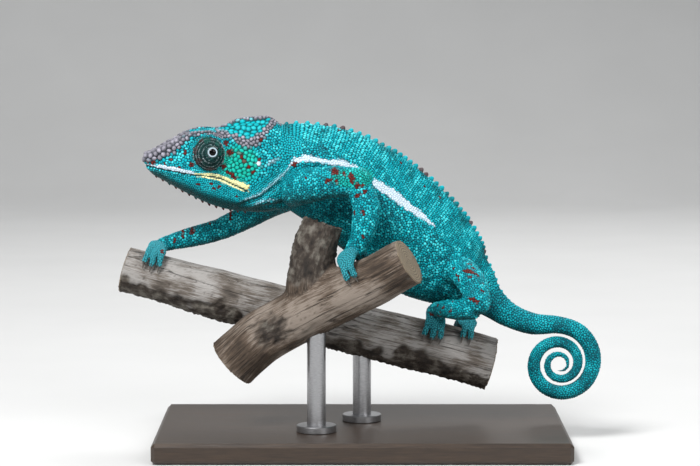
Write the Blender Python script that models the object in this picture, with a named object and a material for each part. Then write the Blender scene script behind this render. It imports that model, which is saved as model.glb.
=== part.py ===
"""A male panther chameleon at life size, walking along two crossed branches on a plain stand.

The forms of the animal come first, as lofts along curved lines, in millimetres. The solids are
then built from them: each named part of the body is a closed mesh of its own, parted from its
neighbours by thin cuts. The head points along -X, the animal's left side faces -Y, and the origin
is the middle of the underside of the stand's base.
"""

import math

import bmesh
import bpy
import numpy as np

MM = 0.001
GAP = 0.3  # thin cut between neighbours

# Stand: a flat base with two rods, one up into each branch.
BASE_LENGTH, BASE_WIDTH, BASE_HEIGHT, BASE_EDGE = 176.0, 104.0, 9.0, 1.6
ROD_RADIUS, ROD_DEPTH, COLLAR_RADIUS, COLLAR_HEIGHT = 4.0, 6.0, 8.5, 3.0
ROD_SIDES = 16
ROD_FEET = {"back": 4, "front": 3}

# Feet: how finely their lofts are fused, and how many faces that leaves.
FUSE_SIZE, FOOT_FACES = 0.4, 430

# Crests: pointed tubercles along the back and under the chin.
CREST_PITCH, CREST_RADIUS, CREST_HEIGHT, CREST_ROOT, CREST_SWEEP = 2.8, 1.15, 1.9, 0.9, 0.35
CHIN_PITCH, CHIN_RADIUS, CHIN_HEIGHT = 3.2, 0.8, 1.3
CHIN_ROWS = (2.6, 9.0)

# How finely the head is drawn, and where the tail is parted.
HEAD_SIDES = 22
NECK_START = 0.85
TAIL_CUTS = (11.0, 17.6, 24.0, 30.4, 36.6)


# ---- Curved forms ---------------------------------------------------------------------------------


def blend_rows(rows: np.ndarray, steps: np.ndarray, closed: bool = False) -> np.ndarray:
    """Read rows of numbers along a smooth curve through them.

    Args:
        rows: The rows that the curve passes through.
        steps: Fractional row numbers to read it at.
        closed: Whether the last row leads back to the first.

    Returns:
        One row of numbers for each step.
    """
    rows = np.asarray(rows, float)
    steps = np.atleast_1d(np.asarray(steps, float))
    if closed:
        padded = np.vstack([rows[-1], rows, rows[0], rows[1]])
        first = steps.astype(int) % len(rows)
        part = (steps - steps.astype(int))[:, None]
    else:
        padded = np.vstack([2 * rows[0] - rows[1], rows, 2 * rows[-1] - rows[-2]])
        steps = np.clip(steps, 0.0, len(rows) - 1.0)
        first = np.minimum(steps.astype(int), len(rows) - 2)
        part = (steps - first)[:, None]
    before, here, after, beyond = (padded[first + k] for k in range(4))
    return 0.5 * (
        2 * here
        + (after - before) * part
        + (2 * before - 5 * here + 4 * after - beyond) * part**2
        + (3 * here - before - 3 * after + beyond) * part**3
    )


def unit(vectors: np.ndarray) -> np.ndarray:
    """Give the same vectors, one unit long."""
    vectors = np.asarray(vectors, float)
    return vectors / np.maximum(np.linalg.norm(vectors, axis=-1, keepdims=True), 1e-12)


class Form:
    """A rounded form lofted along a curved line, in millimetres.

    Each row is x, y, z, half width, height above the line and depth below it, and, where the form
    isn't plainly oval, how far its top and its bottom are pinched towards a keel.
    """

    def __init__(self, rows: list[tuple[float, ...]], sideways: tuple[float, ...] = (0, 1, 0)) -> None:
        """Keep the rows, and the direction that the form's width lies nearest to."""
        self.rows = np.array([list(row) + [0.0] * (8 - len(row)) for row in rows], float)
        self.sideways = np.array(sideways, float)
        self.last = len(rows) - 1.0
        self.hand = 1.0
        if self.line(0.0)[3][0, 2] < 0:
            self.hand = -1.0

    def line(self, steps: np.ndarray) -> tuple[np.ndarray, ...]:
        """Give centres, and the along, side and up directions, at fractional row numbers."""
        steps = np.atleast_1d(np.asarray(steps, float))
        nudge = 0.02
        ahead = blend_rows(self.rows[:, :3], steps + nudge)
        along = unit(ahead - blend_rows(self.rows[:, :3], steps - nudge))
        side = unit(self.sideways - along * (along @ self.sideways)[:, None])
        return blend_rows(self.rows[:, :3], steps), along, side, self.hand * np.cross(along, side)

    def rings(self, steps: np.ndarray, around: int, shrink: float = 0.0, twist: float = 0.0) -> np.ndarray:
        """Lay rings of points round the form, each counted from its top.

        Args:
            steps: Fractional row numbers, one for each ring.
            around: Points in a ring.
            shrink: How far inside the form the rings lie.
            twist: Angle from the form's top to the first point of each ring.

        Returns:
            The points, ring by ring.
        """
        centre, _, side, up = self.line(steps)
        size = blend_rows(self.rows[:, 3:], steps)
        turn = twist + np.linspace(0, 2 * math.pi, around, endpoint=False)
        rise, reach = np.cos(turn), np.sin(turn)
        above, below = np.clip(rise, 0, 1) ** 1.5, np.clip(-rise, 0, 1) ** 1.5
        pinch = 1 - size[:, 3:4] * above - size[:, 4:5] * below
        wide = (size[:, 0:1] - shrink) * reach * pinch
        tall = (np.where(rise > 0, size[:, 1:2], size[:, 2:3]) - shrink) * rise
        return centre[:, None] + wide[..., None] * side[:, None] + tall[..., None] * up[:, None]

    def domed_rings(
        self,
        start: float,
        end: float,
        count: int,
        around: int,
        shrink: float = 0.0,
        domes: tuple[int, int] = (0, 0),
    ) -> np.ndarray:
        """Lay evenly spaced rings from one row number to another, with rounded ends where asked.

        Args:
            start: Row number of the first full ring.
            end: Row number of the last full ring.
            count: Full rings.
            around: Points in a ring.
            shrink: How far inside the form the rings lie.
            domes: Extra rings that round off the start and the end.

        Returns:
            The points, ring by ring.
        """
        rings = list(self.rings(self.even_steps(start, end, count), around, shrink))
        for first, dome in ((True, domes[0]), (False, domes[1])):
            step = start if first else end
            centre, along, _, _ = (v[0] for v in self.line(step))
            ring = rings[0] if first else rings[-1]
            reach = (self.rows[int(round(step)), 3] - shrink) * (-1 if first else 1)
            for k in range(dome):
                turn = (k + 1) / (dome + 0.35) * math.pi / 2
                capped = centre + (ring - centre) * math.cos(turn) + along * reach * math.sin(turn)
                rings.insert(0 if first else len(rings), capped)
        return np.array(rings)

    def even_steps(self, start: float, end: float, count: int) -> np.ndarray:
        """Give row numbers that lie evenly along the line from one of them to another."""
        fine = np.linspace(start, end, 400)
        places = blend_rows(self.rows[:, :3], fine)
        run = np.concatenate([[0], np.cumsum(np.linalg.norm(np.diff(places, axis=0), axis=1))])
        return np.interp(np.linspace(0, run[-1], count), run, fine)

    def length(self, start: float, end: float) -> float:
        """Measure the line between two row numbers."""
        places = blend_rows(self.rows[:, :3], np.linspace(start, end, 400))
        return float(np.linalg.norm(np.diff(places, axis=0), axis=1).sum())


# ---- The animal and its perch -------------------------------------------------------------------------

# The body from the back of the head to the root of the tail: neck, shoulders, ribs, belly, hips.
BODY_ROWS = [
    (-47.0, -3, 122.0, 8.6, 13.0, 17.5, 0.30, 0.25),
    (-36.5, -2, 122.4, 9.2, 16.2, 20.0, 0.40, 0.30),
    (-25.8, -1, 121.6, 11.6, 18.4, 20.8, 0.45, 0.30),
    (-11.6, 0, 115.7, 13.4, 22.2, 22.8, 0.45, 0.25),
    (3.4, 2, 104.7, 14.4, 24.6, 23.2, 0.45, 0.22),
    (18.1, 4, 92.5, 14.0, 24.6, 23.0, 0.45, 0.22),
    (31.0, 6, 79.8, 12.4, 22.8, 20.6, 0.45, 0.25),
    (40.9, 8, 70.6, 10.4, 19.0, 13.8, 0.42, 0.25),
    (48.4, 9, 65.4, 8.0, 13.8, 8.6, 0.38, 0.20),
    (55.4, 9, 60.2, 6.2, 8.6, 6.0, 0.30, 0.10),
    (64.0, 8, 55.0, 5.0, 6.0, 5.2, 0.22, 0.0),
    (74.4, 7, 51.5, 4.4, 5.1, 4.8, 0.18, 0.0),
]
NECK_END, CHEST_END, BELLY_END = 2.0, 4.6, 7.9

# The tail's coil: a flat spiral under the tail's middle, closing towards the tip.
COIL_CENTRE = (86.0, 5.0, 34.6)
COIL_RADIUS, COIL_TIGHTEST, COIL_TURNS = 16.6, 2.9, 2.55
COIL_THICK, COIL_TIP, COIL_LEAN = 4.1, 0.85, 1.6
COIL_ROWS = 31


def coil_rows() -> list[tuple[float, ...]]:
    """Give rows of the body's line round the tail's coil, from its top and forwards under itself."""
    rows = []
    for k in range(COIL_ROWS):
        share = k / (COIL_ROWS - 1)
        turn = 2 * math.pi * COIL_TURNS * share
        radius = COIL_TIGHTEST + (COIL_RADIUS - COIL_TIGHTEST) * (1 - share) ** 1.5
        thick = COIL_TIP + (COIL_THICK - COIL_TIP) * (1 - share) ** 1.05
        x, y, z = COIL_CENTRE
        rows.append(
            (
                x + radius * math.sin(turn),
                y - COIL_LEAN * COIL_TURNS * share,
                z + radius * math.cos(turn),
                thick * 0.88,
                thick,
                thick * 0.95,
                0.15,
                0.0,
            )
        )
    return rows


BODY = Form(BODY_ROWS + coil_rows())

# The head, section by section from its back to the snout: place ahead of the eye's middle, then
# heights and half widths of the midline, the side ridge, the cheek, the lip, the jaw and the throat.
HEAD_ROWS = [
    # ahead   top  ridge      cheek       lip          jaw         throat
    (-30.5, 12.5, 3.4, 11.0, 9.4, -2.5, 9.6, -12.0, 8.0, -19.5, -24.5),
    (-25.5, 15.6, 5.4, 9.8, 10.6, -3.0, 10.4, -13.0, 9.0, -21.2, -25.8),
    (-19.5, 15.4, 7.8, 7.4, 11.2, -3.5, 11.2, -14.2, 9.6, -21.8, -26.0),
    (-13.0, 14.7, 8.8, 6.2, 11.0, -3.0, 11.4, -14.0, 9.8, -21.2, -25.6),
    (-7.0, 12.0, 8.4, 8.0, 10.0, -1.5, 11.0, -12.0, 9.6, -19.8, -24.6),
    (0.0, 9.5, 8.0, 9.9, 9.2, 0.0, 10.6, -9.8, 9.0, -17.8, -22.4),
    (7.0, 8.4, 7.2, 9.2, 8.8, 0.5, 10.0, -8.8, 8.0, -15.2, -19.0),
    (13.5, 4.9, 6.4, 6.0, 7.8, -0.5, 8.8, -8.0, 6.8, -12.6, -15.6),
    (19.5, 1.7, 5.4, 2.8, 6.4, -1.5, 7.2, -7.2, 5.2, -10.2, -12.2),
    (24.2, -0.3, 4.2, 0.6, 4.8, -2.0, 5.0, -6.0, 3.4, -8.2, -9.4),
    (27.0, -0.9, 2.8, -0.1, 2.9, -2.2, 2.6, -4.6, 1.6, -5.6, -6.0),
]
EYE_MIDDLE = (-65.8, -3.6, 127.2)
HEAD_ROLL, HEAD_YAW = math.radians(4.0), math.radians(3.0)
TURRET_ROOT, TURRET_TIP = 4.0, 15.4
TURRET_RADIUS = 7.7
EYEBALL_RADIUS, EYEBALL_PROUD, GAZE_BACK, GAZE_UP = 3.0, 0.22, 1.3, 1.5


def on_head(points: np.ndarray) -> np.ndarray:
    """Place points, given as ahead, leftwards and up from between the eyes, in the model."""
    points = np.asarray(points, float)
    ahead, left, up = points[..., 0], points[..., 1], points[..., 2]
    left, up = (
        left * math.cos(HEAD_ROLL) + up * math.sin(HEAD_ROLL),
        up * math.cos(HEAD_ROLL) - left * math.sin(HEAD_ROLL),
    )
    ahead, left = (
        ahead * math.cos(HEAD_YAW) - left * math.sin(HEAD_YAW),
        left * math.cos(HEAD_YAW) + ahead * math.sin(HEAD_YAW),
    )
    return np.stack([-ahead, -left, up], -1) + np.array(EYE_MIDDLE)


def head_section(steps: np.ndarray) -> tuple[np.ndarray, np.ndarray]:
    """Give the head's sections at fractional row numbers.

    Args:
        steps: Fractional row numbers.

    Returns:
        How far ahead each section is, and its points, leftwards and up, from the top round.
    """
    rows = blend_rows(HEAD_ROWS, steps)
    ahead, top, ridge_y, ridge_z, cheek_y, cheek_z, lip_y, lip_z, jaw_y, jaw_z, throat = rows.T
    flat = np.zeros_like(top)
    right = [(flat, top), (ridge_y, ridge_z), (cheek_y, cheek_z), (lip_y, lip_z), (jaw_y, jaw_z)]
    left = [(-y, z) for y, z in right[:0:-1]]
    loop = right + [(flat, throat)] + left
    return ahead, np.array([[y, z] for y, z in loop]).transpose(2, 0, 1)


def head_rings(steps: np.ndarray, around: int, shrink: float = 0.0) -> np.ndarray:
    """Lay rings of points round the head, in the model's place.

    Args:
        steps: Fractional row numbers, one for each ring.
        around: Points in a ring.
        shrink: How far inside the head's form the rings lie.

    Returns:
        The points, ring by ring.
    """
    ahead, loops = head_section(steps)
    turn = np.linspace(0, loops.shape[1], around, endpoint=False)
    rings = []
    for place, loop in zip(ahead, loops):
        ring = blend_rows(loop, turn, closed=True)
        ring -= unit(ring - loop.mean(axis=0)) * shrink
        rings.append(np.column_stack([np.full(around, place), ring]))
    return on_head(np.array(rings))


def turret_form(side: int) -> Form:
    """Give the cone of skin round one eye. Side is 1 for the left eye and -1 for the right."""
    rows = []
    for share in np.linspace(0, 1, 9):
        out = TURRET_ROOT + (TURRET_TIP - TURRET_ROOT) * math.sin(share * math.pi / 2)
        wide = TURRET_RADIUS * max(math.cos(share * math.pi / 2), 0.02) ** 0.85
        x, y, z = on_head((-GAZE_BACK * share, side * out, GAZE_UP * share))
        rows.append((x, y, z, wide * 0.96, wide * 1.04, wide * 1.04))
    return Form(rows, sideways=(1, 0, 0))


def eyeball_middle(side: int) -> np.ndarray:
    """Give the middle of one eyeball, set so that only its front shows in the turret's opening."""
    out = TURRET_TIP - EYEBALL_RADIUS + EYEBALL_PROUD
    return on_head((-GAZE_BACK, side * out, GAZE_UP))


# Legs: an upper length from inside the body to the elbow or knee, and a lower one from there to
# the palm. Each row is x, y, z, half width, height above the line and depth below it.
UPPER_LIMBS = {
    "fore_left": Form(
        [
            (-32.0, -5.0, 111.6, 6.0, 8.0, 8.0),
            (-24.5, -12.5, 113.2, 6.4, 7.6, 7.6),
            (-12.0, -18.0, 115.4, 6.0, 6.9, 6.9),
            (-1.2, -21.6, 115.6, 5.7, 6.5, 6.5),
        ]
    ),
    "fore_right": Form(
        [
            (-34.0, 5.0, 107.6, 5.6, 7.4, 7.4),
            (-40.5, 11.5, 103.6, 5.5, 6.4, 6.4),
            (-50.5, 16.0, 97.6, 4.9, 5.6, 5.6),
            (-60.5, 18.6, 92.6, 4.7, 5.2, 5.2),
        ]
    ),
    "hind_left": Form(
        [
            (40.0, 2.0, 77.0, 7.0, 7.8, 7.8),
            (44.2, -6.0, 74.8, 6.4, 7.6, 7.6),
            (47.6, -15.0, 70.6, 5.9, 7.0, 7.0),
            (49.2, -22.6, 64.4, 5.1, 5.7, 5.7),
        ],
        sideways=(0.3, 0.2, 1),
    ),
    "hind_right": Form(
        [
            (40.0, 12.0, 74.0, 6.6, 7.4, 7.4),
            (42.0, 20.0, 70.8, 6.1, 6.7, 6.7),
            (43.6, 28.6, 65.8, 5.4, 5.8, 5.8),
            (44.4, 35.4, 60.0, 4.8, 5.2, 5.2),
        ],
        sideways=(0.3, 0.2, 1),
    ),
}
LOWER_LIMBS = {
    "fore_left": Form(
        [
            (-0.6, -22.0, 112.6, 5.5, 5.9, 5.9),
            (1.6, -24.2, 105.4, 5.5, 6.0, 6.0),
            (1.0, -25.4, 98.4, 5.2, 5.7, 5.7),
            (-1.0, -26.0, 91.6, 4.3, 4.7, 4.7),
            (-3.8, -26.3, 86.4, 3.9, 4.2, 4.2),
        ]
    ),
    "fore_right": Form(
        [
            (-61.4, 18.6, 92.2, 4.5, 4.9, 4.9),
            (-67.0, 18.6, 90.4, 4.5, 4.9, 4.9),
            (-74.4, 17.8, 88.6, 4.2, 4.6, 4.6),
            (-83.0, 15.8, 86.6, 3.5, 3.8, 3.8),
            (-88.0, 14.2, 85.2, 3.1, 3.3, 3.3),
        ]
    ),
    "hind_left": Form(
        [
            (48.0, -22.4, 62.0, 4.7, 4.9, 4.9),
            (41.6, -17.6, 60.8, 4.6, 4.9, 4.9),
            (37.0, -10.6, 60.2, 4.2, 4.5, 4.5),
            (32.6, -2.4, 59.0, 3.5, 3.7, 3.7),
            (30.6, 2.6, 57.0, 3.2, 3.4, 3.4),
        ],
        sideways=(0.3, 0.2, 1),
    ),
    "hind_right": Form(
        [
            (44.0, 34.8, 57.8, 4.6, 4.8, 4.8),
            (43.6, 29.6, 56.2, 4.4, 4.6, 4.6),
            (43.6, 23.4, 55.8, 4.0, 4.2, 4.2),
            (44.2, 16.0, 55.6, 3.4, 3.6, 3.6),
            (45.0, 11.0, 53.8, 3.1, 3.3, 3.3),
        ],
        sideways=(0.3, 0.2, 1),
    ),
}
LIMB_WRIST = 2.95

# The perch: a long cut length of branch, and a second one that crosses in front of it.
PERCH_BACK = Form(
    [
        (-104.0, 14.0, 74.8, 10.4, 10.4, 10.8),
        (-89.4, 13.0, 70.9, 10.8, 10.8, 10.8),
        (-60.0, 10.5, 63.2, 11.4, 11.4, 11.6),
        (-33.0, 8.0, 56.6, 11.2, 11.4, 11.4),
        (0.0, 6.6, 48.6, 11.8, 11.6, 12.2),
        (30.4, 6.2, 41.0, 12.0, 12.0, 12.0),
        (45.4, 6.6, 37.2, 12.0, 12.0, 12.0),
        (56.5, 7.2, 34.2, 12.2, 12.0, 12.4),
    ]
)
PERCH_FRONT = Form(
    [
        (-56.0, -12.8, 37.0, 12.2, 12.0, 12.2),
        (-44.8, -14.8, 47.4, 12.2, 12.0, 12.4),
        (-33.5, -17.4, 54.6, 11.8, 12.0, 12.0),
        (-19.5, -21.6, 62.6, 12.4, 12.2, 12.2),
        (-5.2, -26.4, 69.7, 11.6, 11.6, 11.6),
        (8.0, -30.4, 76.4, 11.0, 11.0, 11.0),
        (19.8, -34.0, 83.4, 10.8, 10.6, 10.8),
    ]
)
STUB = Form(
    [
        (-23.0, -21.4, 62.0, 9.6, 11.0, 11.0),
        (-22.4, -21.4, 76.0, 9.0, 10.0, 10.0),
        (-20.0, -21.0, 88.0, 8.4, 10.2, 10.2),
        (-16.4, -20.6, 99.0, 7.2, 9.2, 9.2),
    ]
)
# Where each foot holds, and how: perch, row number on it, tilt of the palm, inner and outer toes.
GRIPS = {
    "fore_left": (PERCH_FRONT, 4.42, 6.0, -1, (3, 2)),
    "fore_right": (PERCH_BACK, 0.85, -4.0, 1, (3, 2)),
    "hind_left": (PERCH_BACK, 4.92, 8.0, -1, (2, 3)),
    "hind_right": (PERCH_BACK, 5.74, 8.0, 1, (2, 3)),
}
TOE_PITCH, TOE_ROOT, TOE_END, TOE_CLEAR = 3.0, 2.0, 1.4, 0.5
TOE_WRAP = (math.radians(10), math.radians(55))
PALM_HALF, PALM_THICK = math.radians(27), 2.8
FOOT_SCALE = {"fore_left": 1.0, "fore_right": 0.92, "hind_left": 0.96, "hind_right": 0.96}
CLAW_LENGTH, CLAW_ROOT, CLAW_TIP = 2.9, 0.95, 0.28


def round_perch(name: str, turn: float, off: float, beside: float) -> np.ndarray:
    """Find a point round the perch that a foot holds.

    Args:
        name: The foot.
        turn: Angle round the perch from the middle of the foot, outwards.
        off: Distance from the bark.
        beside: Distance along the perch from the middle of the foot.

    Returns:
        The point.
    """
    perch, step, tilt, side, _ = GRIPS[name]
    centre, along, sideways, up = (v[0] for v in perch.line(step))
    radius = blend_rows(perch.rows[:, 3:4], step)[0, 0]
    turn = turn + math.radians(tilt)
    out = up * math.cos(turn) + side * sideways * math.sin(turn)
    return centre + along * beside + out * (radius + off)


def toe_form(name: str, outer: bool, number: int, count: int) -> Form:
    """Shape one toe, from inside the palm round the perch to the root of its claw.

    Args:
        name: The foot.
        outer: Whether the toe is in the bundle on the outside of the perch.
        number: Its place in the bundle, from 0.
        count: Toes in the bundle.

    Returns:
        The toe.
    """
    scale = FOOT_SCALE[name]
    turns = np.linspace(*TOE_WRAP, 5) * (1 if outer else -1)
    rows = []
    for k, turn in enumerate(turns):
        share = k / (len(turns) - 1)
        radius = scale * (TOE_ROOT + (TOE_END - TOE_ROOT) * share)
        knuckle = 0.22 * math.sin(share * 2.5 * math.pi) ** 2
        beside = (number - (count - 1) / 2 + 0.07) * TOE_PITCH * scale * (0.86 + 0.34 * share)
        arch = 1.2 * math.sin(share * math.pi)
        shorter = 1 - 0.07 * abs(number - (count - 1) / 2)
        point = round_perch(name, turn * shorter, TOE_CLEAR + radius + arch, beside)
        rows.append((*point, radius + knuckle, radius, radius))
    return Form(rows, sideways=GRIPS[name][0].line(GRIPS[name][1])[1][0])


def palm_form(name: str) -> Form:
    """Shape the palm or sole of a foot, laid across the perch."""
    scale = FOOT_SCALE[name]
    rows = []
    for share in np.linspace(-1, 1, 7):
        half = math.sqrt(max(1 - (0.93 * share) ** 2, 0))
        thick = scale * PALM_THICK * (0.45 + 0.55 * half)
        point = round_perch(name, share * PALM_HALF, TOE_CLEAR + thick, 0.0)
        rows.append((*point, scale * 4.9 * (0.62 + 0.38 * half), thick, thick))
    return Form(rows, sideways=GRIPS[name][0].line(GRIPS[name][1])[1][0])


def toes_of(name: str) -> dict[str, Form]:
    """Name and shape each toe of a foot, the inner ones first."""
    inner, outer = GRIPS[name][4]
    return {
        f"{name}_{'outer' if is_outer else 'inner'}_{number + 1}": toe_form(name, is_outer, number, count)
        for is_outer, count in ((False, inner), (True, outer))
        for number in range(count)
    }


def claw_form(name: str, toe: Form) -> Form:
    """Shape the claw that grows on from the end of a foot's toe, hooked towards the bark."""
    centre, along, _, _ = (v[0] for v in toe.line(toe.last))
    perch, step = GRIPS[name][:2]
    down = unit(perch.line(step)[0][0] - centre)
    rows = []
    for share in np.linspace(0, 1, 5):
        radius = CLAW_ROOT + (CLAW_TIP - CLAW_ROOT) * share
        point = centre + along * (CLAW_LENGTH * share) + down * (0.9 * share**2)
        rows.append((*point, radius * 0.8, radius, radius))
    return Form(rows, sideways=toe.sideways)


# ---- Meshes --------------------------------------------------------------------------------------


def new_object(name: str, points: list, faces: list, smooth: bool = True) -> bpy.types.Object:
    """A mesh object from points in millimetres, with its faces turned outwards."""
    mesh = bpy.data.meshes.new(name)
    mesh.from_pydata([tuple(float(v) * MM for v in p) for p in points], [], faces)
    work = bmesh.new()
    work.from_mesh(mesh)
    bmesh.ops.recalc_face_normals(work, faces=work.faces)
    work.to_mesh(mesh)
    work.free()
    if smooth:
        mesh.shade_smooth()
        mesh.set_sharp_from_angle(angle=math.radians(40))
    piece = bpy.data.objects.new(name, mesh)
    bpy.context.scene.collection.objects.link(piece)
    return piece


def closed_loft(name: str, *lofts: np.ndarray, smooth: bool = True) -> bpy.types.Object:
    """A mesh through rings of points, with a fan of faces over each end. Several lofts may overlap."""
    points, faces = [], []
    for rings in lofts:
        add_loft(points, faces, rings)
    return new_object(name, points, faces, smooth)


def add_loft(points: list, faces: list, rings: np.ndarray) -> None:
    """Add one closed loft to lists of points and faces."""
    count, around, _ = rings.shape
    base = len(points)
    points += [*rings.reshape(-1, 3), rings[0].mean(axis=0), rings[-1].mean(axis=0)]
    for j in range(around):
        k = (j + 1) % around
        for i in range(count - 1):
            here, ahead = base + i * around, base + (i + 1) * around
            faces.append((here + j, here + k, ahead + k, ahead + j))
        last, start_middle = base + (count - 1) * around, base + count * around
        faces.append((base + k, base + j, start_middle))
        faces.append((last + j, last + k, start_middle + 1))


def cones(name: str, roots: list, tips: list, radius: float, sides: int = 4) -> bpy.types.Object:
    """Small cones, each from a root to a tip, in one mesh. The radius is one number or one for each."""
    points, faces = [], []
    radii = np.broadcast_to(radius, len(roots))
    for root, tip, wide in zip(roots, tips, radii):
        axis = unit(tip - root)
        across = unit(np.cross(axis, (0.0, 1.0, 0.12)))
        other = np.cross(axis, across)
        first = len(points)
        for turn in np.linspace(0, 2 * math.pi, sides, endpoint=False):
            points.append(root + (across * math.cos(turn) + other * math.sin(turn)) * wide)
        points.append(tip)
        points.append(root)
        for j in range(sides):
            k = (j + 1) % sides
            faces.append((first + j, first + k, first + sides))
            faces.append((first + k, first + j, first + sides + 1))
    return new_object(name, points, faces)


def prism(name: str, outline: list) -> bpy.types.Object:
    """A block right across the head, from an outline of points ahead and up from between the eyes."""
    points = [on_head((x, y, z)) for y in (-40.0, 40.0) for x, z in outline]
    count = len(outline)
    faces = [tuple(range(count)), tuple(range(2 * count - 1, count - 1, -1))]
    for j in range(count):
        k = (j + 1) % count
        faces.append((k, j, count + j, count + k))
    return new_object(name, points, faces, smooth=False)


def shifted_line(line: list, distance: float) -> np.ndarray:
    """A line of flat points, moved to its left by a distance."""
    line = np.array(line, float)
    ahead = np.gradient(line, axis=0)
    left = unit(np.column_stack([-ahead[:, 1], ahead[:, 0]]))
    return line + left * distance


def grown(source: bpy.types.Object, distance: float = GAP) -> bpy.types.Object:
    """A hidden copy of a piece's plain form, a little larger all round, to cut its neighbours with."""
    tool = as_tool(bpy.data.objects.new("cut_" + source.name, source.data.copy()))
    bpy.context.scene.collection.objects.link(tool)
    work = bmesh.new()
    work.from_mesh(tool.data)
    work.normal_update()
    moves = [v.normal * (distance * MM * min(v.calc_shell_factor(), 2.0)) for v in work.verts]
    for vert, move in zip(work.verts, moves):
        vert.co += move
    work.to_mesh(tool.data)
    work.free()
    return tool


def as_tool(piece: bpy.types.Object) -> bpy.types.Object:
    """The same object, set as a hidden guide that a Boolean reads."""
    piece.hide_render = True
    piece.display_type = "WIRE"
    return piece


def combine(piece: bpy.types.Object, other: bpy.types.Object, operation: str) -> None:
    """A Boolean of a piece with another object."""
    modifier = piece.modifiers.new(operation.lower() + "_" + other.name, "BOOLEAN")
    modifier.operation = operation
    modifier.solver = "EXACT"
    modifier.object = other


def finish(color: tuple, roughness: float, metallic: float = 0.0) -> bpy.types.Material:
    """A material with a plain colour."""
    name = "finish_" + "_".join(f"{round(c * 255):02x}" for c in color)
    material = bpy.data.materials.get(name) or bpy.data.materials.new(name)
    material.use_nodes = True
    shader = material.node_tree.nodes["Principled BSDF"]
    shader.inputs["Base Color"].default_value = (*color, 1.0)
    shader.inputs["Roughness"].default_value = roughness
    shader.inputs["Metallic"].default_value = metallic
    return material


SKIN = ((0.02, 0.38, 0.40), 0.5)
RIDGE = ((0.16, 0.14, 0.17), 0.6)
EYE = ((0.01, 0.01, 0.012), 0.1)
CLAW = ((0.07, 0.08, 0.09), 0.4)
WOOD = ((0.22, 0.17, 0.13), 0.8)
PLINTH = ((0.05, 0.045, 0.04), 0.4)
STEEL = ((0.25, 0.25, 0.26), 0.35, 1.0)


def dress(piece: bpy.types.Object, look: tuple) -> bpy.types.Object:
    """Give a piece its material."""
    piece.data.materials.clear()
    piece.data.materials.append(finish(*look))
    return piece


# ---- Head ----------------------------------------------------------------------------------------

# Lines drawn on the side of the head, ahead and up from between the eyes, from the front backwards.
MOUTH_LINE = [
    (34.0, -4.4),
    (27.6, -5.0),
    (24.0, -5.9),
    (19.4, -6.9),
    (13.3, -7.9),
    (6.5, -8.9),
    (-1.3, -10.3),
    (-7.4, -12.5),
    (-11.7, -14.6),
    (-15.4, -17.0),
    (-19.5, -20.6),
    (-22.0, -26.0),
    (-22.6, -36.0),
]
CREST_LINE = [
    (-3.2, 30.0),
    (-3.6, 11.6),
    (-6.5, 7.4),
    (-12.0, 4.2),
    (-18.0, 4.6),
    (-24.0, 7.0),
    (-29.0, 9.6),
    (-44.0, 11.0),
]
FAR_UP, FAR_DOWN = 30.0, -36.0


def add_head() -> bpy.types.Object:
    """The head, its casque and its jaw, and the two eyes in their turrets."""
    steps = np.concatenate([np.linspace(0, 8, 11), np.linspace(8.7, 10, 3)])
    rings = head_rings(steps, HEAD_SIDES)
    middle = rings[-1].mean(axis=0)
    nose = middle + (rings[-1] - middle) * 0.62 + on_head((1.1, 0, 0)) - on_head((0, 0, 0))
    rings = np.concatenate([rings, [nose]])
    head = dress(closed_loft("head", rings), SKIN)
    plain = grown(head)
    casque = dress(closed_loft("casque", rings), RIDGE)
    jaw = dress(closed_loft("jaw", rings), SKIN)

    below = [*shifted_line(MOUTH_LINE, GAP / 2), (MOUTH_LINE[0][0], FAR_DOWN)]
    above = [*shifted_line(MOUTH_LINE, -GAP / 2), (MOUTH_LINE[0][0], FAR_DOWN)]
    combine(jaw, as_tool(prism("cut_below_mouth", below)), "INTERSECT")
    combine(head, as_tool(prism("cut_above_mouth", above)), "DIFFERENCE")
    over = [*shifted_line(CREST_LINE, -GAP / 2), (CREST_LINE[-1][0], FAR_UP)]
    under = [*shifted_line(CREST_LINE, GAP / 2), (CREST_LINE[-1][0], FAR_UP)]
    combine(casque, as_tool(prism("cut_over_crest", over)), "INTERSECT")
    combine(head, as_tool(prism("cut_under_crest", under)), "DIFFERENCE")

    roots, tips = [], []
    keel = head_rings(np.linspace(*CHIN_ROWS, 400), HEAD_SIDES)[:, HEAD_SIDES // 2]
    run = np.concatenate([[0], np.cumsum(np.linalg.norm(np.diff(keel, axis=0), axis=1))])
    for along in np.arange(CHIN_PITCH / 2, run[-1], CHIN_PITCH):
        place = np.array([np.interp(along, run, keel[:, axis]) for axis in range(3)])
        small = 1 - 0.35 * abs(along / run[-1] - 0.4)
        roots.append(place + (0, 0, 0.5))
        tips.append(place + (0.5, 0, -CHIN_HEIGHT * small))
    combine(jaw, as_tool(cones("join_chin_crest", roots, tips, CHIN_RADIUS)), "UNION")

    for side, name in ((1, "left"), (-1, "right")):
        turret_rings = turret_form(side).rings(np.linspace(0, 7.4, 6), 14)
        turret = dress(closed_loft("turret_" + name, turret_rings), SKIN)
        for piece in (head, casque):
            combine(piece, grown(turret), "DIFFERENCE")
        eye = dress(ball("eye_" + name, eyeball_middle(side), EYEBALL_RADIUS), EYE)
        combine(turret, grown(eye), "DIFFERENCE")
    return plain


def ball(name: str, middle: np.ndarray, radius: float) -> bpy.types.Object:
    """A round ball."""
    bands, around = 6, 12
    turn = np.linspace(0, math.pi, bands + 2)[1:-1]
    spin = np.linspace(0, 2 * math.pi, around, endpoint=False)
    rings = [
        [
            middle + radius * np.array([math.sin(t) * math.cos(s), math.cos(t), math.sin(t) * math.sin(s)])
            for s in spin
        ]
        for t in turn
    ]
    piece = closed_loft(name, np.array(rings))
    for vertex, sign in ((-2, 1), (-1, -1)):
        piece.data.vertices[len(piece.data.vertices) + vertex].co = (middle + (0, sign * radius, 0)) * MM
    return piece


# ---- Body and tail -------------------------------------------------------------------------------


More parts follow.
